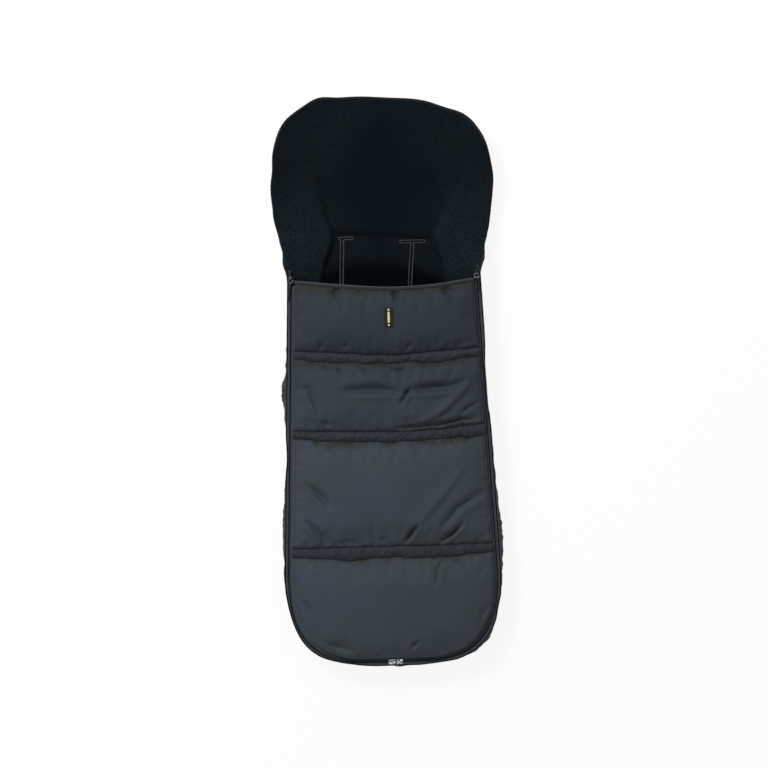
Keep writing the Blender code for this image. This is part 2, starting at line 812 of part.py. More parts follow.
def pull_height():
    # The link's bar turns midway between the slider's plate and the underside of its bridge.
    skin = CHAIN_HEIGHT / 2 + SLIDER_ROOM + PLATE_THICKNESS
    return skin + (BRIDGE_HEIGHT - BRIDGE_STRAP) / 2


def pull(side, body, turn):
    outer = LINK_WIDTH / 2
    inner = outer - LINK_ARM
    bar = LINK_BAR / 2
    far = bar - LINK_LENGTH
    outside = [(-outer, bar), (-outer, far), (outer, far), (outer, bar)]
    inside = [(-inner, -bar), (-inner, far + LINK_BAR), (inner, far + LINK_BAR), (inner, -bar)]
    rings = [[(x, y, z) for x, y in line]
             for line, z in ((outside, -bar), (outside, bar), (inside, bar), (inside, -bar))]
    link = loft("pull_link_" + side, rings, closed=True)
    paint(link, NICKEL, **METAL)
    start = far - FIT
    narrow = GRIP_NARROW / 2
    wide = GRIP_WIDE / 2
    bevel = GRIP_THICKNESS / 4
    end = start - GRIP_LENGTH
    widest = start + (end - start) * GRIP_BULGE_SHARE
    line = [(-narrow, start), (-wide, widest), (-narrow, end),
            (narrow, end), (wide, widest), (narrow, start)]
    inset = [(x * (1 - bevel / wide), y) for x, y in line]
    thick = GRIP_THICKNESS / 2
    levels = ((inset, -thick), (line, bevel - thick), (line, thick - bevel), (inset, thick))
    grip = loft("pull_grip_" + side, [[(x, y, z) for x, y in ring] for ring, z in levels])
    paint(grip, BLACK_GRIP, roughness=0.5)
    for obj in (link, grip):
        obj.parent = body
        obj.location = (0.0, 0.0, pull_height())
        obj.rotation_euler = (0.0, 0.0, turn)


def sliders():
    y = APRON_TOP_Y + SLIDER_REST_GAP + SLIDER_LENGTH / 2
    beside = FOOT_SLIDER_GAP / 2 + SLIDER_LENGTH / 2
    for side, sign in (("left", -1), ("right", 1)):
        place = (sign * zip_half(y), y, ZIP_HEIGHT)
        body = slider("top_slider_" + side, place, sign * ZIP_TILT)
        pull(side, body, sign * PULL_YAW)
        slider("foot_slider_" + side, (sign * beside, ZIP_FOOT_Y, ZIP_HEIGHT), math.pi / 2)


# Badge: a plain bar between two studs on a cloth tab


def turned(name, levels, place, turn=None):
    # A round piece through (radius, height) levels about its own Z axis.
    angles = [math.tau * i / ROUND_SIDES for i in range(ROUND_SIDES)]
    rings = [[(radius * math.cos(a), radius * math.sin(a), height) for a in angles]
             for radius, height in levels]
    obj = loft(name, rings)
    obj.location = place
    if turn:
        obj.rotation_euler = turn
    return obj


def badge(surface, parent):
    empty, pivot = parent
    centre_y = APRON_TOP_Y - BADGE_DROP
    half = BADGE_TAB_LENGTH / 2
    rows = [(centre_y + half - BADGE_TAB_LENGTH * i / 4, BADGE_TAB_WIDTH / 2) for i in range(5)]

    def low(x, y):
        return surface(x + BADGE_OFFSET, y) + BADGE_CLEARANCE

    def high(x, y):
        return low(x, y) + BADGE_TAB_THICKNESS

    tab = slab("badge_tab", rows, 3, low, high)
    tab.data.transform(Matrix.Translation((BADGE_OFFSET, 0.0, 0.0)))
    paint(tab, BLACK_BRAID, **CLOTH)
    hang(tab, empty, pivot)
    rest = high(0.0, centre_y) + FIT
    radius = BADGE_BAR_DIAMETER / 2
    long = BADGE_BAR_LENGTH / 2
    end = radius * BAR_END_SHARE
    barrel = long * BAR_BARREL_SHARE
    levels = ((end, -long), (radius, -barrel), (radius, barrel), (end, long))
    place = (BADGE_OFFSET, centre_y, rest + radius)
    bar = turned("badge_bar", levels, place, (math.pi / 2, 0.0, 0.0))
    paint(bar, PALE_GOLD, **METAL)
    studs = []
    for name, sign in (("upper", 1), ("lower", -1)):
        y = centre_y + sign * BADGE_STUD_SPACING / 2
        wide = BADGE_STUD_DIAMETER / 2
        dome = ((wide, 0.0), (wide, BADGE_STUD_HEIGHT / 2), (wide / 2, BADGE_STUD_HEIGHT))
        stud = turned("badge_stud_" + name, dome, (BADGE_OFFSET, y, high(0.0, y) + FIT))
        paint(stud, PALE_GOLD, **METAL)
        studs.append(stud)
    for obj in [bar] + studs:
        hang(obj, empty, pivot)


def main():
    for obj in list(bpy.data.objects):
        bpy.data.objects.remove(obj)
    seat_back()
    head_place = (0.0, CREASE_Y, PAD_TOP)
    hood(axis_empty("head_axis", head_place))
    gussets()
    gusset_zips()
    surface, top_fold = apron()
    sliders()
    badge(surface, top_fold)


main()
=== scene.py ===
import math

import bmesh
import bpy
import numpy as np
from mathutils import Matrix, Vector, noise


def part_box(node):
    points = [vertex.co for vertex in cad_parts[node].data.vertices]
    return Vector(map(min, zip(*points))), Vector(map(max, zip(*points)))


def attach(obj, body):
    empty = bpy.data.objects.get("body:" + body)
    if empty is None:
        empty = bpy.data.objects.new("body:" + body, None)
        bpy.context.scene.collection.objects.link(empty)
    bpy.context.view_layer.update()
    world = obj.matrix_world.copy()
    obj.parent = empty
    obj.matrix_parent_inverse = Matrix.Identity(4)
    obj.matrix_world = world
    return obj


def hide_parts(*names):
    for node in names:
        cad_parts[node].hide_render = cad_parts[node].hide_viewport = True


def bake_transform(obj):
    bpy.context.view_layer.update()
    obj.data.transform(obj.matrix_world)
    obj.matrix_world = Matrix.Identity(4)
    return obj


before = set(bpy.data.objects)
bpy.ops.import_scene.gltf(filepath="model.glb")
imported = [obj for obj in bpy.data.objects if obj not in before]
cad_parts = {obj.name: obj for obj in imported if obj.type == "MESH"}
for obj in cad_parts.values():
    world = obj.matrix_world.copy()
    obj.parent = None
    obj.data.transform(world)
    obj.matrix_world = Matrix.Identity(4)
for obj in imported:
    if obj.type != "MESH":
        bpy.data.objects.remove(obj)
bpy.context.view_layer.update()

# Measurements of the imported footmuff, in metres; the foot is at -Y and the hood at +Y
muff = {
    "headY": 0.490,
    "creaseY": 0.257,
    "waistY": 0.192,
    "widestY": 0.330,
    "flareLength": 0.108,
    "apronTopY": 0.172,
    "footCurveY": -0.3265,
    "zipFootY": -0.483,
    "hoodHalf": 0.1925,
    "hoodFlat": 0.070,
    "hoodDepth": 0.160,
    "hoodPower": 2.5,
    "zipTopHalf": 0.160,
    "zipFootHalf": 0.1796,
    "footFlat": 0.036,
    "footDepth": 0.1565,
    "footPower": 2.78,
    "margin": 0.007,
    "padTop": 0.020,
    "zipHeight": 0.056,
    "panelBase": 0.055,
    "arch": 0.008,
    "gussetEndY": 0.243,
}


def ease(t):
    t = np.clip(t, 0.0, 1.0)
    return t * t * (3 - 2 * t)


def bell(t):
    return np.exp(-t * t)


def between(low, high, share):
    return low + (high - low) * share


def wander(x, y, scale, seed=0.0):
    # smooth noise over the plan, about -1 to 1
    flat = [noise.noise(Vector((a * scale, b * scale, seed)))
            for a, b in zip(np.ravel(x), np.ravel(y))]
    return np.array(flat).reshape(np.shape(x)) * 2


def through(spots, values, at):
    # a smooth curve through a few values
    at = np.clip(at, spots[0], spots[-1])
    k = np.clip(np.searchsorted(spots, at, "right") - 1, 0, len(spots) - 2)
    spots, values = np.asarray(spots, float), np.asarray(values, float)
    slopes = np.gradient(values, spots)
    span = spots[k + 1] - spots[k]
    t = (at - spots[k]) / span
    bend = slopes[k] * t * (1 - t) ** 2 - slopes[k + 1] * t ** 2 * (1 - t)
    return between(values[k], values[k + 1], ease(t)) + bend * span


# Outline: straight beside the apron, flared to the hood, rounded at both ends

def zipHalf(y):
    down = (muff["apronTopY"] - np.minimum(y, muff["waistY"])) / (muff["apronTopY"] - muff["footCurveY"])
    straight = between(muff["zipTopHalf"], muff["zipFootHalf"], down)
    flare = ease((y - muff["waistY"]) / muff["flareLength"])
    return between(straight, muff["hoodHalf"] - muff["margin"], flare)


def roundHalf(along, half, flat, power):
    # half width of a rounded end; along is 0 where it starts and 1 at its tip
    return flat + (half - flat) * (1 - np.clip(along, 0, 1) ** power) ** (1 / power)


def outlineHalf(y, out):
    # half width at y of the zip line grown by out
    y = np.asarray(y, float)
    inset = out - muff["margin"]
    foot = roundHalf((muff["footCurveY"] - y) / (muff["footDepth"] + out),
                     muff["zipFootHalf"] + out, muff["footFlat"], muff["footPower"])
    hood = roundHalf((y - muff["widestY"]) / (muff["hoodDepth"] + inset),
                     muff["hoodHalf"] + inset, muff["hoodFlat"], muff["hoodPower"])
    return np.where(y < muff["footCurveY"], foot, np.where(y > muff["widestY"], hood, zipHalf(y) + out))


# How the soft outline lies: bumps and hollows, each with its place and reach in millimetres and its
# height outward in tenths of one. The places run up the sides, and for the top and foot across
lay = {
    "left": ((455, 30, 40), (370, 20, -32), (285, 35, -45), (207, 18, 60),
             (-12, 30, 78), (-128, 30, -26), (-255, 45, 34), (-405, 45, -28)),
    "right": ((450, 30, -40), (350, 22, 24), (288, 22, -38), (210, 20, 64),
              (-10, 55, -52), (-270, 60, 62), (-395, 22, -24), (-450, 30, 36)),
    "top": ((-105, 24, 62), (-40, 55, 52), (118, 42, -125)),
    "foot": ((-88, 36, -36), (0, 22, 12), (78, 40, -34)),
    "deepest": -0.0034,  # no hollow of a side goes deeper
    "cornerFrom": 0.10,
    "cornerReach": 0.05,
    "leastHalf": 0.02,
    "furthest": 1.05,
    "sidePower": 3,
    "sideEnd": 0.455,
    "sideEndReach": 0.035,
    "topFrom": 0.385,
    "topReach": 0.095,
    "footFrom": -0.44,
    "footReach": 0.04,
}


def bumps(rows, at):
    return sum(height / 10000 * bell((at - place / 1000) / (reach / 1000)) for place, reach, height in rows)


def layOut(x, y):
    # how far outward the outline lies beside a place
    sides = np.where(np.asarray(x) < 0, bumps(lay["left"], y), bumps(lay["right"], y))
    corner = ease((muff["footCurveY"] - y - lay["cornerFrom"]) / lay["cornerReach"])
    return np.maximum(sides, lay["deepest"]) + bumps(lay["foot"], x) * corner


def lieDown(points):
    # moves points of the back and rim to where the soft outline lies; the middle stays
    x, y = points[..., 0], points[..., 1]
    out = np.abs(x) / np.maximum(outlineHalf(y, muff["margin"]), lay["leastHalf"])
    toEnd = 1 - ease((y - lay["sideEnd"]) / lay["sideEndReach"])
    share = np.clip(out, 0, lay["furthest"]) ** lay["sidePower"] * toEnd
    moved = points.copy()
    moved[..., 0] += np.sign(x) * layOut(x, y) * share
    moved[..., 1] += bumps(lay["top"], x) * ease((y - lay["topFrom"]) / lay["topReach"])
    moved[..., 1] -= bumps(lay["foot"], x) * ease((lay["footFrom"] - y) / lay["footReach"])
    return moved


def roundedLevels(out, step, roundSteps):
    # rows from the hood end to the foot end, closer where the ends curve in
    turn = np.linspace(0, math.pi / 2, roundSteps)
    top = muff["widestY"] + (muff["hoodDepth"] + out - muff["margin"]) * np.sin(turn)[::-1]
    low = muff["footCurveY"] - (muff["footDepth"] + out) * np.sin(turn)
    count = round((muff["widestY"] - muff["footCurveY"]) / step)
    middle = np.linspace(muff["widestY"], muff["footCurveY"], count + 1)[1:-1]
    return np.concatenate([top, middle, low])


# Lines and points

def places(x, y, z):
    return np.stack(np.broadcast_arrays(x, y, z), -1)


def raised(plan, z):
    # points of a plan at one height, or at a height each
    return places(plan[..., 0], plan[..., 1], z)


def unit(vectors):
    return vectors / np.linalg.norm(vectors, axis=1)[:, None]


def runsAlong(points):
    return np.concatenate([[0], np.cumsum(np.linalg.norm(np.diff(points, axis=0), axis=1))])


def resample(points, step):
    points = np.asarray(points, float)
    runs = runsAlong(points)
    at = np.linspace(0, runs[-1], max(2, round(runs[-1] / step) + 1))
    return np.stack([np.interp(at, runs, points[:, k]) for k in range(points.shape[1])], 1)


turnSteps = 90
lineStep = 0.002


def roundLine(half, flat, power, startY, depth):
    # points of the right half of a rounded end, from the side to its tip
    points = []
    for turn in np.linspace(0, math.pi / 2, turnSteps):
        across = (half - flat) * math.cos(turn) ** (2 / power)
        points.append((flat + across, startY + depth * math.sin(turn) ** (2 / power)))
    return points


def zipLine(topY, lowY=None, step=0.005):
    # right side from topY down, round the foot to its middle unless it ends at lowY
    straightTo = muff["footCurveY"] if lowY is None else lowY
    points = [(zipHalf(y), y) for y in np.arange(topY, straightTo, -lineStep)]
    if lowY is None:
        points += roundLine(muff["zipFootHalf"], muff["footFlat"], muff["footPower"],
                            muff["footCurveY"], -muff["footDepth"])
        points.append((0.0, muff["zipFootY"]))
    else:
        points.append((zipHalf(lowY), lowY))
    return resample(points, step)


def bothSides(line):
    return np.concatenate([line, (line[:-1] * (-1, 1))[::-1]])


def outward(line):
    run = unit(np.gradient(line, axis=0))
    return np.stack([-run[:, 1], run[:, 0]], 1)


def planGrid(levels, halves, columns, crowd):
    # rows at the levels; columns crowd towards the two edges
    u = np.linspace(-1, 1, columns + 1)
    u = (1 - crowd) * u + crowd * np.sin(u * math.pi / 2)
    return np.outer(halves, u), np.repeat(np.asarray(levels)[:, None], columns + 1, 1)


# Meshes: a part of a piece is its points, its faces and the number of its material

def gridFaces(rows, columns, start=0, flip=False, closed=False):
    faces = []
    for i in range(rows - 1):
        for j in range(columns if closed else columns - 1):
            k = (j + 1) % columns
            quad = (i * columns + j, i * columns + k, (i + 1) * columns + k, (i + 1) * columns + j)
            faces.append(tuple(start + v for v in (quad[::-1] if flip else quad)))
    return faces


def sheetPart(face, back, number=0):
    # two grids of points joined round their borders; face is seen from its own side
    rows, columns = face.shape[:2]
    count = rows * columns
    faces = gridFaces(rows, columns, flip=True) + gridFaces(rows, columns, count)
    border = ([(0, j) for j in range(columns)] + [(i, columns - 1) for i in range(1, rows)]
              + [(rows - 1, j) for j in range(columns - 2, -1, -1)]
              + [(i, 0) for i in range(rows - 2, 0, -1)])
    ring = [i * columns + j for i, j in border]
    for a, b in zip(ring, ring[1:] + ring[:1]):
        faces.append((a, b, count + b, count + a))
    return np.concatenate([face.reshape(-1, 3), back.reshape(-1, 3)]), faces, number


def tubePart(rings, number=0, closed=False):
    # rings of points, each running the same way round
    count, sides = rings.shape[:2]
    if closed:
        faces = gridFaces(count + 1, sides, closed=True)
        faces = [tuple(v % (count * sides) for v in face) for face in faces]
    else:
        faces = gridFaces(count, sides, closed=True)
        faces.append(tuple(range(sides))[::-1])
        faces.append(tuple((count - 1) * sides + v for v in range(sides)))
    return rings.reshape(-1, 3), faces, number


def tubeAlong(line, radii, sides, number=0, flat=1.0):
    # a tube along a 3-D line
    run = unit(np.gradient(line, axis=0))
    side = unit(np.cross(run, (0, 0, 1)))
    over = np.cross(side, run)
    turns = np.linspace(0, math.tau, sides, endpoint=False)
    rings = (line[:, None] + side[:, None] * (radii[:, None] * np.cos(turns))[..., None]
             + over[:, None] * (radii[:, None] * flat * np.sin(turns))[..., None])
    return tubePart(rings, number)


thread = {"pitch": 0.0036, "length": 0.0027, "width": 0.0007, "lift": 0.0001, "flat": 0.7}
stitchRings = ((-0.5, 0.35), (-0.28, 1.0), (0.28, 1.0), (0.5, 0.35))  # place along it, and width there


def stitchPart(line, number=1, up=(0.0, 0.0, 1.0), sewn=thread):
    # a row of separate stitches, each a flat grain of thread lying along the line;
    # up is away from the cloth, one way for all or one for each point
    line = resample(np.concatenate([line, np.broadcast_to(up, line.shape)], 1), sewn["pitch"])
    ups, line = unit(line[:, 3:]), line[:, :3]
    middle = (line[1:] + line[:-1]) / 2
    along = unit(line[1:] - line[:-1])
    up = (ups[1:] + ups[:-1]) / 2
    side = np.cross(along, up)
    points = []
    for place, wide in stitchRings:
        reach = sewn["width"] / 2 * wide
        for s, u in ((1, 0), (0, 1), (-1, 0), (0, -1)):
            points.append(middle + along * place * sewn["length"] + side * s * reach
                          + up * (u * reach * sewn["flat"] + sewn["lift"]))
    faces = []
    for start in range(0, len(middle) * len(points), len(points)):
        faces += gridFaces(4, 4, start, closed=True)
        faces.append((start + 3, start + 2, start + 1, start))
        faces.append((start + 12, start + 13, start + 14, start + 15))
    return np.stack(points, 1).reshape(-1, 3), faces, number


def newMesh(name, points, faces):
    mesh = bpy.data.meshes.new(name)
    mesh.from_pydata(points.reshape(-1, 3).tolist(), [], faces)
    return mesh


def newObject(name, data):
    obj = bpy.data.objects.new(name, data)
    bpy.context.scene.collection.objects.link(obj)
    return obj


def faceOut(obj):
    # every loose part of the mesh turned to face out
    mesh = bmesh.new()
    mesh.from_mesh(obj.data)
    bmesh.ops.recalc_face_normals(mesh, faces=mesh.faces)
    mesh.to_mesh(obj.data)
    mesh.free()
    return obj


def makePiece(name, parts, materials, sharp=60):
    verts, faces, numbers, start = [], [], [], 0
    for points, polygons, number in parts:
        verts.append(points)
        faces += [tuple(v + start for v in polygon) for polygon in polygons]
        numbers += [number] * len(polygons)
        start += len(points)
    mesh = newMesh(name, np.concatenate(verts), faces)
    mesh.polygons.foreach_set("material_index", numbers)
    for material in materials:
        mesh.materials.append(finishes[material])
    mesh.update()
    mesh.shade_smooth()
    mesh.set_sharp_from_angle(angle=math.radians(sharp))
    return faceOut(newObject(name, mesh))


def cutWith(obj, cutters):
    for cutter in cutters:
        change = obj.modifiers.new("slot", "BOOLEAN")
        change.operation = "DIFFERENCE"
        change.solver = "EXACT"
        change.object = cutter
    bpy.context.view_layer.update()
    evaluated = obj.evaluated_get(bpy.context.evaluated_depsgraph_get())
    mesh = bpy.data.meshes.new_from_object(evaluated)
    obj.modifiers.clear()
    obj.data = mesh
    return faceOut(obj)


# What each piece stands for: it hides the imported parts; the bend functions only bake the placement into
# the points

bend = {
    "hipReach": 0.030,
    "bodies": (("apron_top", "apron_middle"), ("apron_middle", "apron_lower"), ("apron_lower", "back")),
    "ys": (0.043, -0.094, -0.297),
    "height": 0.0825,
    "reach": 0.012,
}


def standFor(obj, slotName, *nodes):
    if nodes:
        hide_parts(*nodes)
    return obj


def bendAtHip(obj):
    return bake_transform(obj)


def bendAtFold(obj):
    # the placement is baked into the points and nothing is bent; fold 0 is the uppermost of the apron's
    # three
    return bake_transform(obj)


# Shader nodes

def linear(level):
    share = level / 255
    return share / 12.92 if share <= 0.04045 else ((share + 0.055) / 1.055) ** 2.4


def feed(socket, value):
    # another node's value is linked to the socket; a number or a colour is set on it
    if isinstance(value, Value):
        value.tree.links.new(value.socket, socket)
    elif isinstance(value, tuple):
        socket.default_value = (*[linear(level) for level in value], 1.0)
    else:
        socket.default_value = value


class Value:
    # an output of a node; a sum, product or the like of it is a math node in the same tree
    def __init__(self, tree, socket):
        self.tree = tree
        self.socket = socket

    def math(self, operation, *others):
        node = self.tree.nodes.new("ShaderNodeMath")
        node.operation = operation
        for socket, value in zip(node.inputs, (self, *others)):
            feed(socket, value)
        return Value(self.tree, node.outputs[0])

    def __add__(self, other):
        return self.math("ADD", other)

    def __sub__(self, other):
        return self.math("SUBTRACT", other)

    def __mul__(self, other):
        return self.math("MULTIPLY", other)

    def __abs__(self):
        return self.math("ABSOLUTE")


def newNode(tree, kind, values, output=0):
    # a node fed with values by the names of its inputs
    node = tree.nodes.new("ShaderNode" + kind)
    for label, value in values.items():
        feed(node.inputs[label], value)
    return Value(tree, node.outputs[output])


def noiseNode(place, scale, detail, roughness=0.5):
    return newNode(place.tree, "TexNoise", {
        "Vector": place, "Scale": scale, "Detail": detail, "Roughness": roughness}, "Fac")


def objectPlace(tree):
    return newNode(tree, "TexCoord", {}, "Object")


def splitPlace(place):
    node = place.tree.nodes.new("ShaderNodeSeparateXYZ")
    feed(node.inputs[0], place)
    return [Value(place.tree, output) for output in node.outputs]


def rampNode(value, low, high, kind="SMOOTHSTEP"):
    # 0 at low and 1 at high, which may be the smaller
    node = value.tree.nodes.new("ShaderNodeMapRange")
    node.interpolation_type = kind
    start, end = (0.0, 1.0) if low < high else (1.0, 0.0)
    for label, number in (("Value", value), ("From Min", min(low, high)), ("From Max", max(low, high)),
                          ("To Min", start), ("To Max", end)):
        feed(node.inputs[label], number)
    return Value(value.tree, node.outputs[0])


def mixColour(share, first, second):
    node = share.tree.nodes.new("ShaderNodeMix")
    node.data_type = "RGBA"
    feed(node.inputs["Factor"], share)
    for socket, value in zip([s for s in node.inputs if s.type == "RGBA"], (first, second)):
        feed(socket, value)
    return Value(share.tree, next(s for s in node.outputs if s.type == "RGBA"))


# Shared effects: each group puts out values that vary over the surface

def newGroup(name, inputs, outputs):
    group = bpy.data.node_groups.new(name, "ShaderNodeTree")
    for label, value in inputs.items():
        socket = group.interface.new_socket(label, in_out="INPUT", socket_type="NodeSocketFloat")
        socket.default_value = value
    for label in outputs:
        group.interface.new_socket(label, in_out="OUTPUT", socket_type="NodeSocketFloat")
    given = group.nodes.new("NodeGroupInput")
    out = group.nodes.new("NodeGroupOutput")
    values = [Value(group, given.outputs[label]) for label in inputs]
    return group, values, [out.inputs[label] for label in outputs]


weave = {"slubsPerMetre": 260.0, "detail": 2.0, "middle": 0.5, "shadeOfSlub": 1.6}


def makeWeave():
    # crossed threads at a pitch, with slubs; relief is 0 between threads
    group, (threads, slub), (relief, shade) = newGroup(
        "wovenThreads", {"threads per metre": 900.0, "slub": 0.3}, ("relief", "shade"))
    place = objectPlace(group)
    x, y, z = splitPlace(place)
    turns = threads * math.tau
    across = ((x + z) * turns).math("SINE")
    along = ((y + z) * turns).math("SINE")
    uneven = (noiseNode(place, weave["slubsPerMetre"], weave["detail"]) - 0.5) * slub
    feed(relief, across * along * 0.5 + weave["middle"] + uneven)
    feed(shade, uneven * weave["shadeOfSlub"] + weave["middle"])
    return group


nap = {"clumpDetail": 3.0, "clumpRoughness": 0.6, "fibresPerClump": 6.0, "fibreDetail": 2.0,
       "clumpShare": 0.65, "contrast": 2.6, "below": 0.8}


def makeNap():
    # brushed fibres in clumps
    group, (clumpsPerMetre,), (relief, shade) = newGroup(
        "brushedNap", {"clumps per metre": 160.0}, ("relief", "shade"))
    place = objectPlace(group)
    clumps = noiseNode(place, clumpsPerMetre, nap["clumpDetail"], nap["clumpRoughness"])
    fibres = noiseNode(place, clumpsPerMetre * nap["fibresPerClump"], nap["fibreDetail"])
    mixed = clumps * nap["clumpShare"] + fibres * (1 - nap["clumpShare"])
    feed(relief, mixed)
    feed(shade, mixed * nap["contrast"] - nap["below"])
    return group


drift = {"detail": 2.0, "from": 0.35, "to": 0.65}


def makeDrift():
    # slow change of tone over a whole piece
    group, (patchesPerMetre,), (tone,) = newGroup("toneDrift", {"patches per metre": 9.0}, ("tone",))
    patches = noiseNode(objectPlace(group), patchesPerMetre, drift["detail"])
    feed(tone, rampNode(patches, drift["from"], drift["to"], "LINEAR"))
    return group


# where painted shade and painted light lie on the fleece
wear = {
    "hipY": 0.252,
    "valleyHalf": 0.086,
    "valleySpread": 0.26,
    "archX": -0.018,
    "archY": 0.232,
    "archBend": -2.4,
    "pocketReach": 0.036,
    "pocketSides": (0.006, -0.004),
    "wingReach": 0.010,
    "wingYs": (0.38, 0.25),
    "middleY": 0.345,
    "middleNarrow": 1.3,
    "middleReach": (0.19, 0.06),
}


def makeWear():
    # masks of painted light and shade on the fleece: shade in the pocket and the hood's middle, light on
    # the wings
    group, given, (pocket, middle, wings) = newGroup("fleeceWear", {}, ("pocket", "middle", "wings"))
    x, y, z = splitPlace(objectPlace(group))
    past = abs(x) - (abs(y - wear["hipY"]) * wear["valleySpread"] + wear["valleyHalf"])
    aside = x - wear["archX"]
    below = aside * aside * wear["archBend"] + wear["archY"] - y
    feed(pocket, rampNode(below, 0.0, wear["pocketReach"]) * rampNode(past, *wear["pocketSides"]))
    feed(wings, rampNode(past, 0.0, wear["wingReach"]) * rampNode(y, *wear["wingYs"]))
    off = abs(x) * wear["middleNarrow"] + abs(y - wear["middleY"])
    feed(middle, rampNode(off, *wear["middleReach"]))
    return group


# where the painted shade on the apron lies, and the patches that break it up
fade = {
    "seamYs": (0.1557, 0.0305, -0.1045, -0.3034),
    "seamCurve": -0.4,
    "seamReach": 0.017,
    "dustPerMetre": 34.0,
    "dustDetail": 2.0,
    "dustContrast": 4.0,
    "dustBelow": 1.3,
    "leastDust": 0.1,
    "headYs": (-0.15, 0.09),
    "hemYs": (0.168, 0.184),
}


def makeFade():
    # painted shade on the apron: darker cloth towards the head, patchy painted shade below each seam, and
    # darker past the hem
    group, given, (towardsHead, underSeams, pastHem) = newGroup(
        "fadeAlong", {}, ("towards head", "under seams", "past hem"))
    place = objectPlace(group)
    x, y, z = splitPlace(place)
    level = x * x * fade["seamCurve"] + y
    nearest = abs(level - fade["seamYs"][0])
    for seamY in fade["seamYs"][1:]:
        nearest = nearest.math("MINIMUM", abs(level - seamY))
    dust = noiseNode(place, fade["dustPerMetre"], fade["dustDetail"]) * fade["dustContrast"]
    dust = (dust - fade["dustBelow"]).math("MINIMUM", 1.0).math("MAXIMUM", fade["leastDust"])
    feed(underSeams, rampNode(nearest, fade["seamReach"], 0.0) * dust)
    feed(towardsHead, rampNode(y, *fade["headYs"]))
    feed(pastHem, rampNode(y, *fade["hemYs"]))
    return group


effects = {"fade": makeFade(), "weave": makeWeave(), "nap": makeNap(), "drift": makeDrift(),
           "wear": makeWear()}


# Materials

def useGroup(tree, effect, **values):
    # a shared effect's outputs by their names
    node = tree.nodes.new("ShaderNodeGroup")
    node.node_tree = effects[effect]
    for socket, value in zip(node.inputs, values.values()):
        feed(socket, value)
    return {output.name: Value(tree, output) for output in node.outputs}


shaderInputs = {"roughness": "Roughness", "metallic": "Metallic", "specular": "Specular IOR Level",
                "sheen": "Sheen Weight", "sheenRoughness": "Sheen Roughness", "sheenTint": "Sheen Tint"}


def newMaterial(name, finish):
    material = bpy.data.materials.new(name)
    material.use_nodes = True
    tree = material.node_tree
    shader = tree.nodes["Principled BSDF"]
    for key, label in shaderInputs.items():
        if key in finish:
            feed(shader.inputs[label], finish[key])
    return material, tree, shader.inputs


def addBump(inputs, relief, depth):
    bump = newNode(relief.tree, "Bump", {"Strength": 1.0, "Distance": depth, "Height": relief})
    feed(inputs["Normal"], bump)


clothFinish = {"roughness": 0.68, "sheen": 0.05, "sheenRoughness": 0.45, "specular": 0.16, "threads": 600.0,
               "slub": 0.3, "patches": 40.0, "gapShare": 0.5, "relief": 0.0002}


def wovenMaterial(name, colour, otherColour, gapColour, **changes):
    # woven cloth: two tones that drift, darker between the threads, and where asked painted shade
    # towards the head, under the seams or past the hem
    cloth = {**clothFinish, **changes}
    material, tree, inputs = newMaterial(name, cloth)
    woven = useGroup(tree, "weave", threads=cloth["threads"], slub=cloth["slub"])
    tone = mixColour(useGroup(tree, "drift", patches=cloth["patches"])["tone"], colour, otherColour)
    for mask, key in (("towards head", "headColour"), ("under seams", "seamColour"),
                      ("past hem", "endColour")):
        if key in cloth:
            tone = mixColour(useGroup(tree, "fade")[mask], tone, cloth[key])
    share = woven["relief"] * cloth["gapShare"] + (1 - cloth["gapShare"])
    gaps = mixColour(woven["shade"], gapColour, tone)
    feed(inputs["Base Color"], mixColour(share, gaps, tone))
    addBump(inputs, woven["relief"], cloth["relief"])
    return material


def fleeceMaterial(name, pile):
    # brushed pile, with painted light on the raised wings and painted shade in the hood's recessed middle
    # and down in the pocket
    material, tree, inputs = newMaterial(name, pile)
    brushed = useGroup(tree, "nap", clumps=pile["clumps"])
    masks = useGroup(tree, "wear")
    drifting = useGroup(tree, "drift", patches=pile["patches"])["tone"]
    tone = mixColour(drifting, pile["colour"], pile["otherColour"])
    for mask in ("middle", "wings", "pocket"):
        tone = mixColour(masks[mask], tone, pile[mask + "Colour"])
    napped = mixColour(brushed["shade"], pile["deepColour"], tone)
    feed(inputs["Base Color"], mixColour(masks["pocket"], napped, tone))
    addBump(inputs, brushed["relief"], pile["relief"])
    return material


handled = {"detail": 4.0, "roughness": 0.7, "contrast": 5.0}


def metalMaterial(name, colour, otherColour, dull=-1.8, **metal):
    # plated metal or moulding with fine handling marks; on the two nickel finishes the strong bright and
    # dark spots are painted glints and painted dark reflection
    material, tree, inputs = newMaterial(name, metal)
    marks = noiseNode(objectPlace(tree), metal["marks"], handled["detail"], handled["roughness"])
    feed(inputs["Base Color"], mixColour(marks * handled["contrast"] + dull, colour, otherColour))
    feed(inputs["Roughness"], marks * metal["roughSpread"] + metal["roughness"])
    addBump(inputs, marks, metal["relief"])
    return material


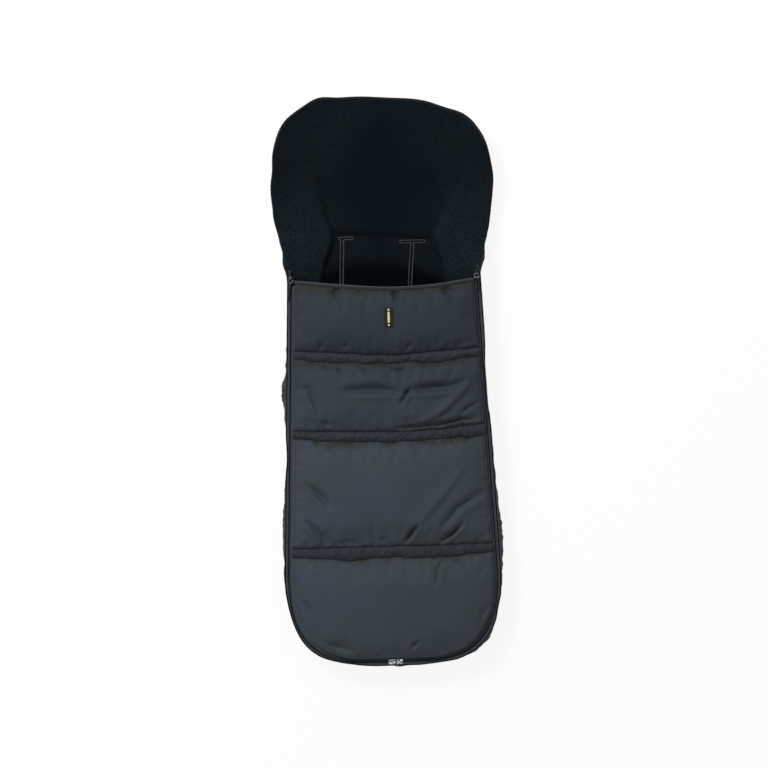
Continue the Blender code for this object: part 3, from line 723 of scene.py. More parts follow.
quilted = {"threads": 950.0, "slub": 0.35, "patches": 30.0, "gapShare": 0.35, "relief": 0.00012}
tapeWeave = {"threads": 700.0, "gapShare": 0.4}
finishes = {
    # the apron's head and seam colours are painted shade: darker towards the head and in patches below each
    # seam
    "apron": wovenMaterial(
        "apronPolyester", (57, 64, 74), (54, 61, 65), (40, 46, 52), headColour=(38, 45, 52),
        seamColour=(36, 38, 32), **{**quilted, "patches": 9.0}),
    "band": wovenMaterial("bandPolyester", (39, 45, 52), (35, 41, 46), (26, 31, 36), **quilted),
    # the hem's piped edge is paler than the apron: a painted highlight along the rolled edge
    "hem": wovenMaterial("hemEdge", (74, 80, 84), (68, 74, 78), (50, 54, 58), **quilted),
    "outer": wovenMaterial(
        "outerCloth", (38, 43, 49), (34, 39, 43), (24, 28, 32),
        threads=800.0, slub=0.4, patches=14.0, gapShare=0.4, relief=0.00015),
    "binding": wovenMaterial("braidBinding", (24, 28, 33), (21, 25, 29), (13, 16, 19)),
    "rim": wovenMaterial("rimBinding", (17, 22, 26), (14, 18, 22), (8, 11, 14)),
    "slotTrim": wovenMaterial("slotBraid", (62, 67, 72), (50, 54, 59), (30, 34, 38)),
    "slotTape": wovenMaterial(
        "slotTape", (33, 38, 43), (27, 31, 36), (18, 21, 25), relief=0.00015, **tapeWeave),
    # past the hem the tape and the coil turn dark: painted shade at the top corners
    "tape": wovenMaterial(
        "zipTape", (62, 69, 76), (57, 63, 70), (42, 47, 52), endColour=(18, 22, 27),
        slub=0.2, relief=0.00012, **tapeWeave),
    "coil": wovenMaterial(
        "zipCoil", (52, 57, 63), (46, 51, 57), (30, 34, 38), endColour=(14, 17, 21),
        threads=500.0, slub=0.2, patches=60.0, gapShare=0.2, relief=0.00005),
    "thread": wovenMaterial(
        "sewingThread", (38, 43, 49), (34, 38, 43), (22, 25, 29),
        threads=1600.0, slub=0.2, patches=60.0, gapShare=0.3, relief=0.00005),
    # middleColour is painted shade in the hood's middle, wingsColour painted light on the wings,
    # pocketColour painted shade in the pocket
    "fleece": fleeceMaterial("navyFleece", {
        "colour": (20, 27, 30), "otherColour": (18, 24, 29), "deepColour": (10, 15, 19),
        "middleColour": (9, 17, 25), "wingsColour": (28, 37, 42), "pocketColour": (2, 4, 6),
        "roughness": 0.95, "sheen": 0.04, "sheenRoughness": 0.6, "specular": 0.03,
        "sheenTint": (120, 140, 150), "clumps": 210.0, "patches": 12.0, "relief": 0.0012}),
    # foot sliders: the mix of bright and dark spots is painted glints and painted dark reflection
    "nickel": metalMaterial(
        "nickelPlate", (232, 233, 235), (52, 54, 58), metallic=1.0,
        roughness=0.20, roughSpread=0.18, marks=330.0, relief=0.00004),
    # top sliders and pull links: the dark colour is painted dark reflection and its bright spots are
    # painted glints
    "smoked": metalMaterial(
        "smokedNickel", (176, 178, 182), (20, 22, 25), dull=-1.45, metallic=1.0,
        roughness=0.20, roughSpread=0.20, marks=300.0, relief=0.00003),
    "gold": metalMaterial(
        "paleGoldPlate", (220, 204, 160), (198, 178, 132), metallic=1.0,
        roughness=0.20, roughSpread=0.16, marks=420.0, relief=0.00002),
    "grip": metalMaterial(
        "mouldedGrip", (24, 26, 30), (16, 18, 21), metallic=0.0, specular=0.14,
        roughness=0.30, roughSpread=0.20, marks=600.0, relief=0.00008),
    "stop": metalMaterial(
        "blackenedStop", (34, 36, 40), (24, 26, 29), metallic=0.6,
        roughness=0.35, roughSpread=0.20, marks=420.0, relief=0.00003),
}
print("materials ready")


# The padded back, from under the hood to the foot

hood = {
    "centreHalf": 0.0825,
    "centreGrow": 0.333,
    "centreReach": 0.233,
    "sideRise": 0.022,
    "sideReach": 0.155,
    "sidePower": 1.5,
    "endRise": 0.012,
    "edgeThin": 0.012,
    "thinAcross": 0.055,
    "thinAlong": 0.0776,
}
back = {
    "leftYs": (-0.05, 0.12, 0.178, 0.213, 0.255, 0.290, 0.330, 0.430),
    "leftValley": (0.158, 0.126, 0.105, 0.096, 0.084, 0.095, 0.101, 0.140),
    "rightYs": (-0.05, 0.12, 0.179, 0.203, 0.249, 0.293, 0.349, 0.440),
    "rightValley": (0.158, 0.120, 0.102, 0.098, 0.085, 0.112, 0.140, 0.162),
    "wingYs": (0.10, 0.15, 0.172, 0.186, 0.196, 0.220, 0.257, 0.300, 0.360),
    "wingRise": (0.0, 0.012, 0.023, 0.0312, 0.0312, 0.021, 0.012, 0.007, 0.0),
    "wingPower": 1.2,
    "wingFrom": 0.178,
    "wingRun": 0.010,
    "zipGap": 0.002,
    "zipGapEdge": 0.003,
    "lip": 0.0060,
    "lipWidth": 0.0055,
    "lipFrom": (0.10, 0.06),  # where along Y it starts, and the run over which it grows
    "lipTo": (0.33, 0.10),
    "valleyWidth": 0.008,
    "creaseDepth": 0.0050,
    "creaseWidth": 0.0050,
    "creaseY": 0.2523,
    "creaseSlope": -0.088,
    "dip": 0.0045,
    "dipWidth": 0.010,
    "dipFrom": (0.06, 0.05),
    "lumps": 0.0018,
    "smallLumps": 0.0006,
    "fleeceThickness": 0.004,
    "fleeceStep": 0.0042,
    "fleeceRound": 34,
    "fleeceColumns": 100,
    "fleeceCrowd": 0.3,
    "padStep": 0.0075,
    "padRound": 24,
    "padColumns": 64,
    "padCrowd": 0.7,
    "edgeRound": 0.009,
    "edgeSink": 0.017,
    "edgeMiddle": 0.45,
    "padGap": 0.0003,
    "underGap": 0.0007,
    "rimInset": 0.0022,
    "underLumps": 0.0006,
}


def hoodLift(x, y):
    above = y - muff["creaseY"]
    centre = hood["centreHalf"] * (1 + hood["centreGrow"] * ease(above / hood["centreReach"]))
    out = np.clip((np.abs(x) - centre) / (muff["hoodHalf"] - centre), 0, 1)
    sides = hood["sideRise"] * ease(above / hood["sideReach"]) * out ** hood["sidePower"]
    return sides + hood["endRise"] * ease((y - muff["widestY"]) / muff["hoodDepth"])


def padThickness(x, y):
    inward = np.minimum(outlineHalf(y, muff["margin"]) - np.abs(x), muff["headY"] - y)
    thin = (1 - ease(inward / hood["thinAcross"])) * ease((y - muff["creaseY"]) / hood["thinAlong"])
    return muff["padTop"] - hood["edgeThin"] * thin


def grown(y, start):
    return ease((y - start[0]) / start[1])


def wingHeight(x, y):
    # the fleece beside the valley, which climbs to the zips and to the hood's edge
    left = through(back["leftYs"], back["leftValley"], y)
    right = through(back["rightYs"], back["rightValley"], y)
    valley = np.where(x < 0, left, right)
    past = np.abs(x) - valley
    toEdge = ease((y - back["wingFrom"]) / back["wingRun"])
    edge = between(zipHalf(y) + back["zipGap"], outlineHalf(y, muff["margin"]), toEdge)
    share = np.clip(past / (edge - valley), 0, 1)
    rise = np.interp(y, back["wingYs"], back["wingRise"]) * share ** back["wingPower"]
    along = grown(y, back["lipFrom"]) * (1 - grown(y, back["lipTo"]))
    lip = back["lip"] * ease(past / back["lipWidth"]) * along
    inside = np.maximum(1 - ease((np.abs(x) - edge) / back["zipGapEdge"]), toEdge)
    return (rise + lip) * inside, past


def fleeceTop(x, y):
    wing, past = wingHeight(x, y)
    inValley = 1 - ease(past / back["valleyWidth"])
    off = y - back["creaseY"] - back["creaseSlope"] * x
    crease = bell(off / back["creaseWidth"]) * inValley
    dip = back["dip"] * (1 - ease(off / back["dipWidth"] + 0.5)) * grown(y, back["dipFrom"]) * inValley
    lumps = back["lumps"] * wander(x * 2.0, y * 0.8, 11.0, 3.0)
    lumps = lumps + back["smallLumps"] * wander(x, y, 34.0, 7.0)
    return muff["padTop"] + hoodLift(x, y) + wing - back["creaseDepth"] * crease - dip + lumps


def makeFleece():
    inset = muff["margin"] - back["rimInset"]
    levels = roundedLevels(inset, back["fleeceStep"], back["fleeceRound"])
    x, y = planGrid(levels, outlineHalf(levels, inset), back["fleeceColumns"], back["fleeceCrowd"])
    top = fleeceTop(x, y)
    sheet = sheetPart(lieDown(places(x, y, top)), lieDown(places(x, y, top - back["fleeceThickness"])))
    return makePiece("backFleece", [sheet], ["fleece"])


def makePad():
    # outer cloth and wadding, rounded in at the edge
    levels = roundedLevels(muff["margin"], back["padStep"], back["padRound"])
    halves = outlineHalf(levels, muff["margin"])
    x, y = planGrid(levels, halves, back["padColumns"], back["padCrowd"])
    ends = np.minimum(muff["headY"] - y, y + muff["headY"])
    inward = np.minimum(outlineHalf(y, muff["margin"]) - np.abs(x), ends)
    high = fleeceTop(x, y) - back["fleeceThickness"] - back["padGap"]
    low = muff["padTop"] + hoodLift(x, y) - padThickness(x, y)
    low += back["underGap"] + back["underLumps"] * wander(x, y, 16.0, 5.0)
    middle = low + back["edgeMiddle"] * (np.minimum(high, low + back["edgeSink"]) - low)
    edge = np.sqrt(1 - np.clip(1 - inward / back["edgeRound"], 0, 1) ** 2)
    sheet = sheetPart(lieDown(places(x, y, between(middle, high, edge))),
                      lieDown(places(x, y, between(middle, low, edge))))
    return makePiece("backPad", [sheet], ["outer"])


slots = {
    "left": {"x": -0.070, "topX": -0.0705, "apronX": -0.0740, "bar": (-0.0760, -0.0525), "barY": 0.2510},
    "right": {"x": 0.050, "topX": 0.0515, "apronX": 0.0455, "bar": (0.0300, 0.0735), "barY": 0.2425},
    "low": 0.028,
    "barHalf": 0.0022,
    "stemHalf": 0.0028,
    "crotchX": (-0.0235, 0.0235),
    "crotchY": (-0.0362, -0.0298),
    "cutFromTo": (-0.01, 0.04),
    "ribPitch": 0.0016,
    "rib": 0.09,
    "trimWidth": 0.0019,
    "trimHeight": 0.0012,
    "wallHalf": 0.0007,
    "wallLow": 0.0012,
    "trimSides": 8,
    "lipRows": 24,
    "lipOut": 0.0016,
    "lipOverlap": 0.0008,
    "lipDip": 0.0008,
    "lipThickness": 0.0010,
    "lipDepths": (0.0050, 0.0072),
}


def slotOutline(s):
    # corners of the T, going round; the stem leans a little as the cloth lies
    left, right = s["bar"]
    high, shoulder = s["barY"] + slots["barHalf"], s["barY"] - slots["barHalf"]
    stem = slots["stemHalf"]
    down = ((s["topX"], shoulder), (s["apronX"], muff["apronTopY"]), (s["x"], slots["low"]))
    return [(left, high), (left, shoulder), *[(x - stem, y) for x, y in down],
            *[(x + stem, y) for x, y in down[::-1]], (right, shoulder), (right, high)]


def slotLines(s):
    # middle of the bar and of the two lengths of the stem, each with its half width
    points = [(s["topX"], s["barY"]), (s["apronX"], muff["apronTopY"]), (s["x"], slots["low"])]
    bar = [(s["bar"][0], s["barY"]), (s["bar"][1], s["barY"]), slots["barHalf"]]
    return [bar, *[(start, end, slots["stemHalf"]) for start, end in zip(points, points[1:])]]


def crotchOutline():
    (left, right), (low, high) = slots["crotchX"], slots["crotchY"]
    return [(left, high), (left, low), (right, low), (right, high)]


def crotchLine():
    (left, right), (low, high) = slots["crotchX"], slots["crotchY"]
    y = (low + high) / 2
    return (left, y), (right, y), (high - low) / 2


def slotCutter(name, outline):
    rings = np.array([[(x, y, z) for x, y in outline] for z in slots["cutFromTo"]])
    return makePiece(name, [tubePart(rings)], [])


def slotLips(lines):
    # two cloth lips under each opening that overlap, so that it lies closed until a strap opens it
    parts = []
    t = np.linspace(0, 1, slots["lipRows"])[:, None]
    for start, end, half in lines:
        start, end = np.array(start), np.array(end)
        run = (end - start) / np.hypot(*(end - start))
        across = np.array((-run[1], run[0]))
        middle = start * (1 - t) + end * t
        for way, depth in zip((1, -1), slots["lipDepths"]):
            outer = middle + across * way * (half + slots["lipOut"])
            inner = middle - across * way * slots["lipOverlap"]
            z = fleeceTop(middle[:, 0], middle[:, 1]) - depth
            faces = [np.stack([raised(outer, z - thick), raised(inner, z - thick - slots["lipDip"])], 1)
                     for thick in (0, slots["lipThickness"])]
            parts.append(sheetPart(*faces, 1))
    return parts


def slotTrim(name, outline, lines, node):
    # a rolled edge that follows the slot, ribbed across like braid
    loop = resample(np.array(outline + outline[:1]), slots["ribPitch"])[:-1]
    run = unit(np.roll(loop, -1, 0) - np.roll(loop, 1, 0))
    side = np.stack([run[:, 1], -run[:, 0]], 1)
    level = fleeceTop(loop[:, 0], loop[:, 1])
    ribbed = 1 + slots["rib"] * (np.arange(len(loop)) % 2)
    rolled = []
    for turn in np.linspace(0, math.tau, slots["trimSides"], endpoint=False):
        reach = slots["trimWidth"] / 2 * ribbed * math.cos(turn)
        up = slots["trimHeight"] * ribbed * math.sin(turn)
        rolled.append(raised(loop + side * reach[:, None], level + up))
    half, low = slots["wallHalf"], slots["wallLow"]
    sunk = [raised(loop + side * n, z)
            for n, z in ((half, level), (-half, level), (-half, low), (half, low))]
    parts = [tubePart(np.stack(rings, 1), closed=True) for rings in (rolled, sunk)]
    obj = makePiece(name, parts + slotLips(lines), ["slotTrim", "slotTape"])
    return bendAtHip(standFor(obj, "binding", node))


backFleece = makeFleece()
backPad = makePad()
openings = [("slotTrim" + sideName.title(), slotOutline(slots[sideName]), slotLines(slots[sideName]),
             "harness_slot_%s_binding" % sideName) for sideName in ("left", "right")]
openings.append(("slotTrimCrotch", crotchOutline(), [crotchLine()], "crotch_slot_binding"))
cutters = [slotCutter(name + "Cut", outline) for name, outline, lines, node in openings]
bendAtHip(standFor(cutWith(backFleece, cutters), "fleece", "seat_fleece", "head_fleece"))
bendAtHip(standFor(cutWith(backPad, cutters), "outer_cloth",
                   "seat_shell", "head_shell", "seat_wadding", "head_wadding"))
for cutter in cutters:
    bpy.data.objects.remove(cutter)
for opening in openings:
    slotTrim(*opening)
print("back ready")


# Side wall, its lining and the piped seam at its foot

wall = {
    "seamHeight": 0.0095,
    "topGap": 0.0004,
    "endHeight": 0.031,
    "thickness": 0.0018,
    "step": 0.0040,
    "levels": 14,
    "least": 0.0036,
    "footFollows": 0.7,
    "footShare": 0.35,
    "topReach": 0.0066,
    "topFrom": 0.62,
    "belly": 0.0016,
    "bellyRun": 0.3,
    "wrinkle": 0.0009,
    "smallWrinkle": 0.7,
    "wrinkleEnds": (0.05, 0.95),
    "liningStep": 0.006,
    "liningLevels": 7,
    "pipeStep": 0.005,
    "slump": 0.0016,
    "slumpY": -0.010,
    "slumpReach": 0.050,
    "stitchDrop": 0.0035,
    "stitchOut": 0.0006,
    "liningLow": 0.0190,
    "liningHigh": 0.0470,
    "liningIn": 0.0030,
    "liningOut": 0.0036,
    "liningThickness": 0.0022,
    "pipeRadius": 0.0015,
    "pipeSides": 6,
    "pipeFollows": 0.8,
    "pipePast": 0.010,
}


def wallTop(y):
    share = ease((y - muff["waistY"]) / (muff["gussetEndY"] - muff["waistY"]))
    return between(muff["zipHeight"] + wall["topGap"], wall["endHeight"], share)


def wallReach(line):
    # how far outside the zip line the wall lies
    return np.maximum(muff["margin"] + layOut(line[:, 0], line[:, 1]), wall["least"])


def wallReaches(line, levels):
    # one distance for each place and level, from the foot seam to the top edge
    shares = np.linspace(0, 1, levels)[None]
    y = line[:, 1:]
    middle = wallReach(line)[:, None]
    foot = muff["margin"] + wall["footFollows"] * (middle - muff["margin"])
    turned = np.minimum(middle, wall["topReach"])
    top = between(turned, middle, ease((y - back["wingFrom"]) / back["wingRun"]))
    reach = between(foot, middle, ease(shares / wall["footShare"]))
    reach = between(reach, top, ease((shares - wall["topFrom"]) / (1 - wall["topFrom"])))
    reach = reach + wall["belly"] * np.sin(math.pi * shares) * ease((muff["waistY"] - y) / wall["bellyRun"])
    slump = wall["slump"] * bell((y - wall["slumpY"]) / wall["slumpReach"])
    amount = wall["wrinkle"] * (middle / muff["margin"]) + slump * (line[:, :1] < 0)
    runs = np.broadcast_to(runsAlong(line)[:, None], (len(line), levels))
    creases = wander(runs, shares * 0.03 + runs * 0.2, 50.0, 2.0)
    creases = creases + wall["smallWrinkle"] * wander(runs, shares * 0.06 + runs, 110.0, 9.0)
    return reach + amount * creases * np.sin(math.pi * np.clip(shares, *wall["wrinkleEnds"]))


def sweptWall(line, low, high, reach, thickness):
    # an upright sheet along the line; reach has one row of distances for each place
    side = outward(line)[:, None]
    z = low + (high[:, None] - low) * np.linspace(0, 1, reach.shape[1])[None]
    plans = [line[:, None] + side * (reach - depth)[..., None] for depth in (0.0, thickness)]
    return sheetPart(*[raised(plan, z) for plan in plans])


def makeWall():
    line = bothSides(zipLine(muff["gussetEndY"], step=wall["step"]))
    side = outward(line)
    tops = wallTop(line[:, 1])
    stitchReach = np.minimum(wallReach(line), wall["topReach"])[:, None] + wall["stitchOut"]
    seam = raised(line + side * stitchReach, tops - wall["stitchDrop"])
    sheet = sweptWall(line, wall["seamHeight"], tops, wallReaches(line, wall["levels"]), wall["thickness"])
    obj = makePiece("sideWall", [sheet, stitchPart(seam, up=raised(side, 0.0))], ["outer", "thread"])
    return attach(standFor(obj, "outer_cloth", "gusset_left", "gusset_right", "gusset_foot"), "back")


def makeWallLining():
    line = bothSides(zipLine(muff["waistY"], step=wall["liningStep"]))
    reach = np.minimum(wallReach(line) - wall["liningIn"], wall["liningOut"])
    reach = np.repeat(reach[:, None], wall["liningLevels"], 1)
    high = np.full(len(line), wall["liningHigh"])
    sheet = sweptWall(line, wall["liningLow"], high, reach, wall["liningThickness"])
    obj = makePiece("sideLining", [sheet], ["fleece"])
    nodes = ["gusset_lining_" + part for part in ("left", "right", "foot")]
    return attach(standFor(obj, "fleece", *nodes), "back")


def makePiping():
    line = bothSides(zipLine(muff["gussetEndY"] + wall["pipePast"], step=wall["pipeStep"]))
    reach = muff["margin"] + wall["pipeFollows"] * (wallReach(line) - muff["margin"])
    path = raised(line + outward(line) * reach[:, None], wall["seamHeight"])
    pipe = tubeAlong(path, np.full(len(line), wall["pipeRadius"]), wall["pipeSides"])
    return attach(standFor(makePiece("seamPiping", [pipe], ["binding"]), "binding"), "back")


makeWall()
makeWallLining()
makePiping()
print("side wall ready")


# Bound rim: from the top of one zip, round the hood, to the top of the other

rim = {
    "radius": 0.0021,
    "sides": 10,
    "flat": 1.5,
    "step": 0.0021,
    "startUp": 0.002,
    "endRadii": (0.5, 0.8, 0.95),
    "sideStep": 0.003,
    "gatherPitch": 0.0062,
    "gatherUneven": 0.35,
    "gather": 0.09,
    "drop": 0.0012,
    "inset": 0.0016,
    "leaveY": 0.215,
    "leaveRun": 0.035,
    "stitchIn": 0.0006,
}


def makeRim():
    points = [(float(zipHalf(y)) + muff["margin"], y)
              for y in np.arange(muff["waistY"] + rim["startUp"], muff["widestY"], rim["sideStep"])]
    points += roundLine(muff["hoodHalf"], muff["hoodFlat"], muff["hoodPower"],
                        muff["widestY"], muff["hoodDepth"])
    points.append((0.0, muff["headY"]))
    line = bothSides(resample(points, rim["step"]))
    side = -outward(line)
    place = line - side * rim["inset"]
    y = place[:, 1]
    onHood = muff["padTop"] + hoodLift(place[:, 0], y) - rim["drop"]
    onHood += np.interp(y, back["wingYs"], back["wingRise"])
    fromWall = wallTop(np.minimum(y, muff["gussetEndY"]))
    share = ease((y - rim["leaveY"]) / rim["leaveRun"])
    z = fromWall * (1 - share) + onHood * share
    runs = np.arange(len(line)) * rim["step"]
    phase = runs / rim["gatherPitch"] + rim["gatherUneven"] * wander(runs, runs * 0, 40.0, 4.0)
    radii = rim["radius"] * (1 + rim["gather"] * np.sin(phase * math.tau))
    radii[:3] *= rim["endRadii"]
    radii[-3:] *= rim["endRadii"][::-1]
    seam = lieDown(raised(line - side * (rim["inset"] * 2 + rim["stitchIn"]), z + rim["radius"]))
    rolled = tubeAlong(lieDown(raised(place, z)), radii, rim["sides"], flat=rim["flat"])
    parts = [rolled, stitchPart(seam)]
    return bendAtHip(standFor(makePiece("hoodRim", parts, ["rim", "thread"], 70), "binding", "rim_binding"))


makeRim()
print("rim ready")


# Zips: coil and tape on the wall, and on the apron in three lengths

zipper = {
    "near": 0.00055,
    "far": 0.0017,
    "shortTooth": 0.72,
    "shortIn": 0.0012,
    "coilHeight": 0.0010,
    "shortHeight": (0.8, 0.2),
    "toothPitch": 0.0019,
    "tapeStep": 0.004,
    "tapeThickness": 0.0008,
    "tapeUnder": 0.0004,
    "outerTape": 0.0070,
    "outerPast": 0.0002,
    "innerTape": 0.0078,
    "stitchOut": 0.0009,
    "stitchUp": 0.0006,
    "topRise": 0.020,
    "apronDrop": 0.003,
    "tipGap": 0.0002,
}
# ring of a coil half, as distance out and height, from its near side round
coilRing = ((0.0, 0.0), (0.25, 0.85), (0.7, 1.0), (1.0, 0.5), (1.0, -0.5), (0.7, -1.0), (0.25, -0.85))
midPanels = (-0.0255, -0.196)


def coilPart(line, way):
    # half a coil: rounded teeth side by side
    side = outward(line) * way
    wide = np.where(np.arange(len(line)) % 2 == 0, 1.0, zipper["shortTooth"])
    near = zipper["near"] + (1 - wide) * zipper["shortIn"]
    steady, varied = zipper["shortHeight"]
    rings = []
    for n, h in coilRing:
        out = near + (zipper["far"] - near) * n
        z = muff["zipHeight"] + zipper["coilHeight"] * h * (steady + varied * wide)
        rings.append(raised(line + side * out[:, None], z))
    return tubePart(np.stack(rings, 1), 1)


def tapePart(line, way, reach):
    side = outward(line) * way
    near = zipper["far"] - zipper["tapeUnder"]
    half = zipper["tapeThickness"] / 2
    plans = [line + side * (near + (reach - near) * share)[:, None] for share in (0.0, 0.5, 1.0)]
    return sheetPart(*[np.stack([raised(plan, muff["zipHeight"] + lift) for plan in plans], 1)
                       for lift in (half, -half)])


def tapeStitches(line, way):
    plan = line + outward(line) * way * (zipper["far"] + zipper["stitchOut"])
    return stitchPart(raised(plan, muff["zipHeight"] + zipper["stitchUp"]), 2)


def makeZip(name, topY, lowY, onWall, mirror, nodes):
    teeth = zipLine(topY, lowY, zipper["toothPitch"] / 2)
    flat = zipLine(topY, lowY, zipper["tapeStep"])
    if lowY is None:
        teeth[-1, 0] = flat[-1, 0] = zipper["tipGap"]
    if mirror:
        teeth, flat = teeth * (-1, 1), flat * (-1, 1)
    way = 1 if onWall != mirror else -1
    reach = np.full(len(flat), zipper["innerTape"])
    if onWall:
        reach = np.minimum(wallReach(flat) + zipper["outerPast"], zipper["outerTape"])
    parts = [tapePart(flat, way, reach), coilPart(teeth, way), tapeStitches(flat, way)]
    return standFor(makePiece(name, parts, ["tape", "coil", "thread"], 50), "zip_tape", *nodes)


spans = ((muff["apronTopY"] - zipper["apronDrop"], midPanels[0], (1, 2)),
         (midPanels[0], midPanels[1], (3,)), (midPanels[1], None, (4,)))
for sideName, mirror in (("left", True), ("right", False)):
    title = sideName.title()
    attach(makeZip("wallZip" + title, muff["apronTopY"] + zipper["topRise"], None, True, mirror,
                    ["gusset_zip_" + sideName]), "back")
    for fold, (top, bottom, numbers) in enumerate(spans):
        nodes = ["apron_zip_%d_%s" % (number, sideName) for number in numbers]
        bendAtFold(makeZip("apronZip%s%d" % (title, fold + 1), top, bottom, False, mirror, nodes))
print("zips ready")


# Apron: four padded panels, three gathered bands, the top hem and the linings

apron = {
    "side": 0.0046,
    "cornerSide": 0.0058,
    "cornerFrom": (0.150, 0.012),
    "footSide": 0.0070,
    "footFrom": (-0.36, -0.08),
    "sideHeight": 0.0034,
    "sideRise": 0.006,
    "edge": 0.0022,
    "shoulder": 0.0052,
    "seamRoll": 0.007,
    "seamGap": 0.0002,
    "crown": 0.0122,
    "acrossPower": 3.4,
    "alongPower": 3.0,
    "crownPower": 0.62,
    "gatherDepth": 0.0011,
    "gatherPitch": 0.0125,
    "gatherUneven": 0.55,
    "gatherSizes": (0.6, 0.6),
    "gatherReach": 0.015,
    "gatherFall": 1.9,
    "gridStep": 0.0024,
    "footCrowd": (0.55, 0.45),
    "foldScale": (2.4, 1.9, 1.8, 1.7),
    "stitchColumn": 2,
    "stitchUp": 0.0001,
    "fadePower": 10,
    "fadeIn": 0.03,
    "lumps": 0.0013,
    "smallLumps": 0.0004,
    "underLift": 0.0001,
    "zipClear": 0.0006,
    "least": 0.0008,
}
# height of each seam line at five places across, left to right
seamXs = (-0.160, -0.080, 0.015, 0.085, 0.165)
seams = (
    {"top": (0.178, 0.169, 0.1617, 0.1645, 0.175), "low": (0.172, 0.163, 0.1557, 0.1585, 0.169)},
    {"top": (0.057, 0.051, 0.0450, 0.0495, 0.054), "low": (0.042, 0.0355, 0.0305, 0.0320, 0.038)},
    {"top": (-0.081, -0.0842, -0.0867, -0.0845, -0.077),
     "low": (-0.096, -0.1025, -0.1045, -0.1035, -0.097)},
    {"top": (-0.284, -0.2828, -0.2834, -0.2840, -0.2826),
     "low": (-0.298, -0.3044, -0.3034, -0.3025, -0.299)},
)


seamUneven = {"top": 0.0006, "low": 0.0015, "small": 0.7}


def seamLine(index, edge, x):
    line = through(seamXs, seams[index][edge], x)
    uneven = seamUneven[edge] * (index > 0)
    seed = index + (0.5 if edge == "low" else 0.0)
    small = seamUneven["small"] * wander(x, x * 0, 75.0, seed + 9)
    return line + uneven * (wander(x, x * 0, 28.0, seed) + small)


def apronHalf(y):
    corner, foot = grown(y, apron["cornerFrom"]), grown(y, apron["footFrom"])
    near = between(apron["side"], apron["cornerSide"], corner) + (apron["footSide"] - apron["side"]) * foot
    return outlineHalf(y, -near)


def apronBase(x):
    return muff["panelBase"] + muff["arch"] * (1 - np.minimum(np.abs(x) / muff["zipFootHalf"], 1) ** 2)


def apronUnder(x):
    # where the underside of a panel or band lies, clear of the zips
    return np.maximum(apronBase(x) + apron["underLift"], muff["zipHeight"] + apron["zipClear"])


# folds, drawn one by one: the points each runs through, in millimetres, then its width and depth in
# tenths of one; a negative depth is a ridge
panels = (
    {"name": "apronPanelTop", "node": "apron_panel_1", "body": "apron_top", "folds": (
        (((-89, 160), (-80, 152)), 80, 42),
        (((-47, 161), (-39, 155)), 60, 28),
        (((-21, 159), (-1, 157)), 40, 12),
        (((13, 157), (18, 143), (23, 140)), 44, 44),
        (((30, 155), (23, 145)), 40, 22),
        (((58, 154), (75, 156)), 40, 14),
        (((100, 158), (110, 146), (117, 142)), 70, 44),
        (((-114, 66), (-111, 58)), 40, 20),
        (((-76, 63), (-66, 58)), 40, 14),
        (((34, 50), (45, 63)), 40, 18),
        (((124, 56), (138, 64)), 50, 14),
        (((-148, 90), (-128, 72)), 80, 12))},
    {"name": "apronPanelSecond", "node": "apron_panel_2", "body": "apron_middle", "folds": (
        (((8, 28), (12, 20), (21, 16), (36, 24)), 28, 34),
        (((-109, 30), (-101, 26), (-94, 28)), 28, 26),
        (((-87, 28), (-80, 21), (-75, 25)), 28, 26),
        (((-47, 27), (-38, 20), (-28, 23)), 30, 28),
        (((-144, 27), (-136, 33)), 30, 18),
        (((-77, -15), (-27, -15), (1, -17), (23, -22)), 66, 58),
        (((36, -21), (44, -17), (103, -14), (133, -6)), 64, 62),
        (((38, -17), (30, -28), (24, -38)), 32, 46),
        (((-157, -12), (-137, -10), (-128, -25), (-118, -56)), 42, 34),
        (((149, 5), (131, -19), (90, -56), (63, -69)), 60, -24),
        (((156, -41), (136, -51), (126, -59)), 34, 34),
        (((113, 14), (107, 2), (102, -6)), 50, 14),
        (((13, -83), (51, -81), (89, -78), (124, -71), (158, -69)), 32, 46),
        (((-113, -67), (-101, -76)), 34, 28))},
    {"name": "apronPanelThird", "node": "apron_panel_3", "body": "apron_lower", "folds": (
        (((-105, -108), (-100, -113), (-94, -119)), 40, 20),
        (((110, -107), (117, -114)), 34, 22),
        (((-167, -138), (-151, -142)), 40, 12),
        (((-142, -177), (-133, -182), (-116, -199), (-104, -215)), 48, 48),
        (((-168, -188), (-158, -190)), 36, 16),
        (((-146, -235), (-121, -263), (-114, -278)), 42, 46),
        (((-21, -270), (-14, -278)), 40, 16),
        (((-93, -277), (-55, -278)), 40, 14),
        (((46, -249), (34, -266), (23, -281)), 34, 50),
        (((122, -248), (106, -265), (84, -281)), 36, 52),
        (((174, -189), (140, -207), (114, -223), (86, -255)), 56, 40),
        (((127, -152), (97, -187), (46, -246)), 80, -18))},
    {"name": "apronPanelFoot", "node": "apron_panel_4", "body": "back", "folds": (
        (((-68, -310), (-60, -314), (-49, -312)), 34, 20),
        (((88, -308), (79, -325), (74, -348)), 36, 32),
        (((102, -309), (119, -314), (130, -324)), 34, 32),
        (((150, -339), (154, -324)), 40, 14),
        (((-158, -372), (-149, -381), (-142, -396)), 40, 36),
        (((-172, -392), (-161, -397)), 36, 18),
        (((168, -388), (154, -403), (148, -415)), 44, 30),
        (((41, -446), (28, -460)), 40, 28),
        (((-126, -441), (-102, -454), (-70, -461)), 50, 22))},
)


foldForm = {
    "ends": 0.08,
    "taperPower": 0.9,
    "widths": (0.7, 0.3),  # share of the width that stays, and share that tapers
    "above": 1.5,
    "below": 0.8,
    "ridgeOut": 1.8,
    "ridgeWidth": 1.3,
    "ridgeAbove": 0.1,
    "ridgeBelow": 0.25,
}


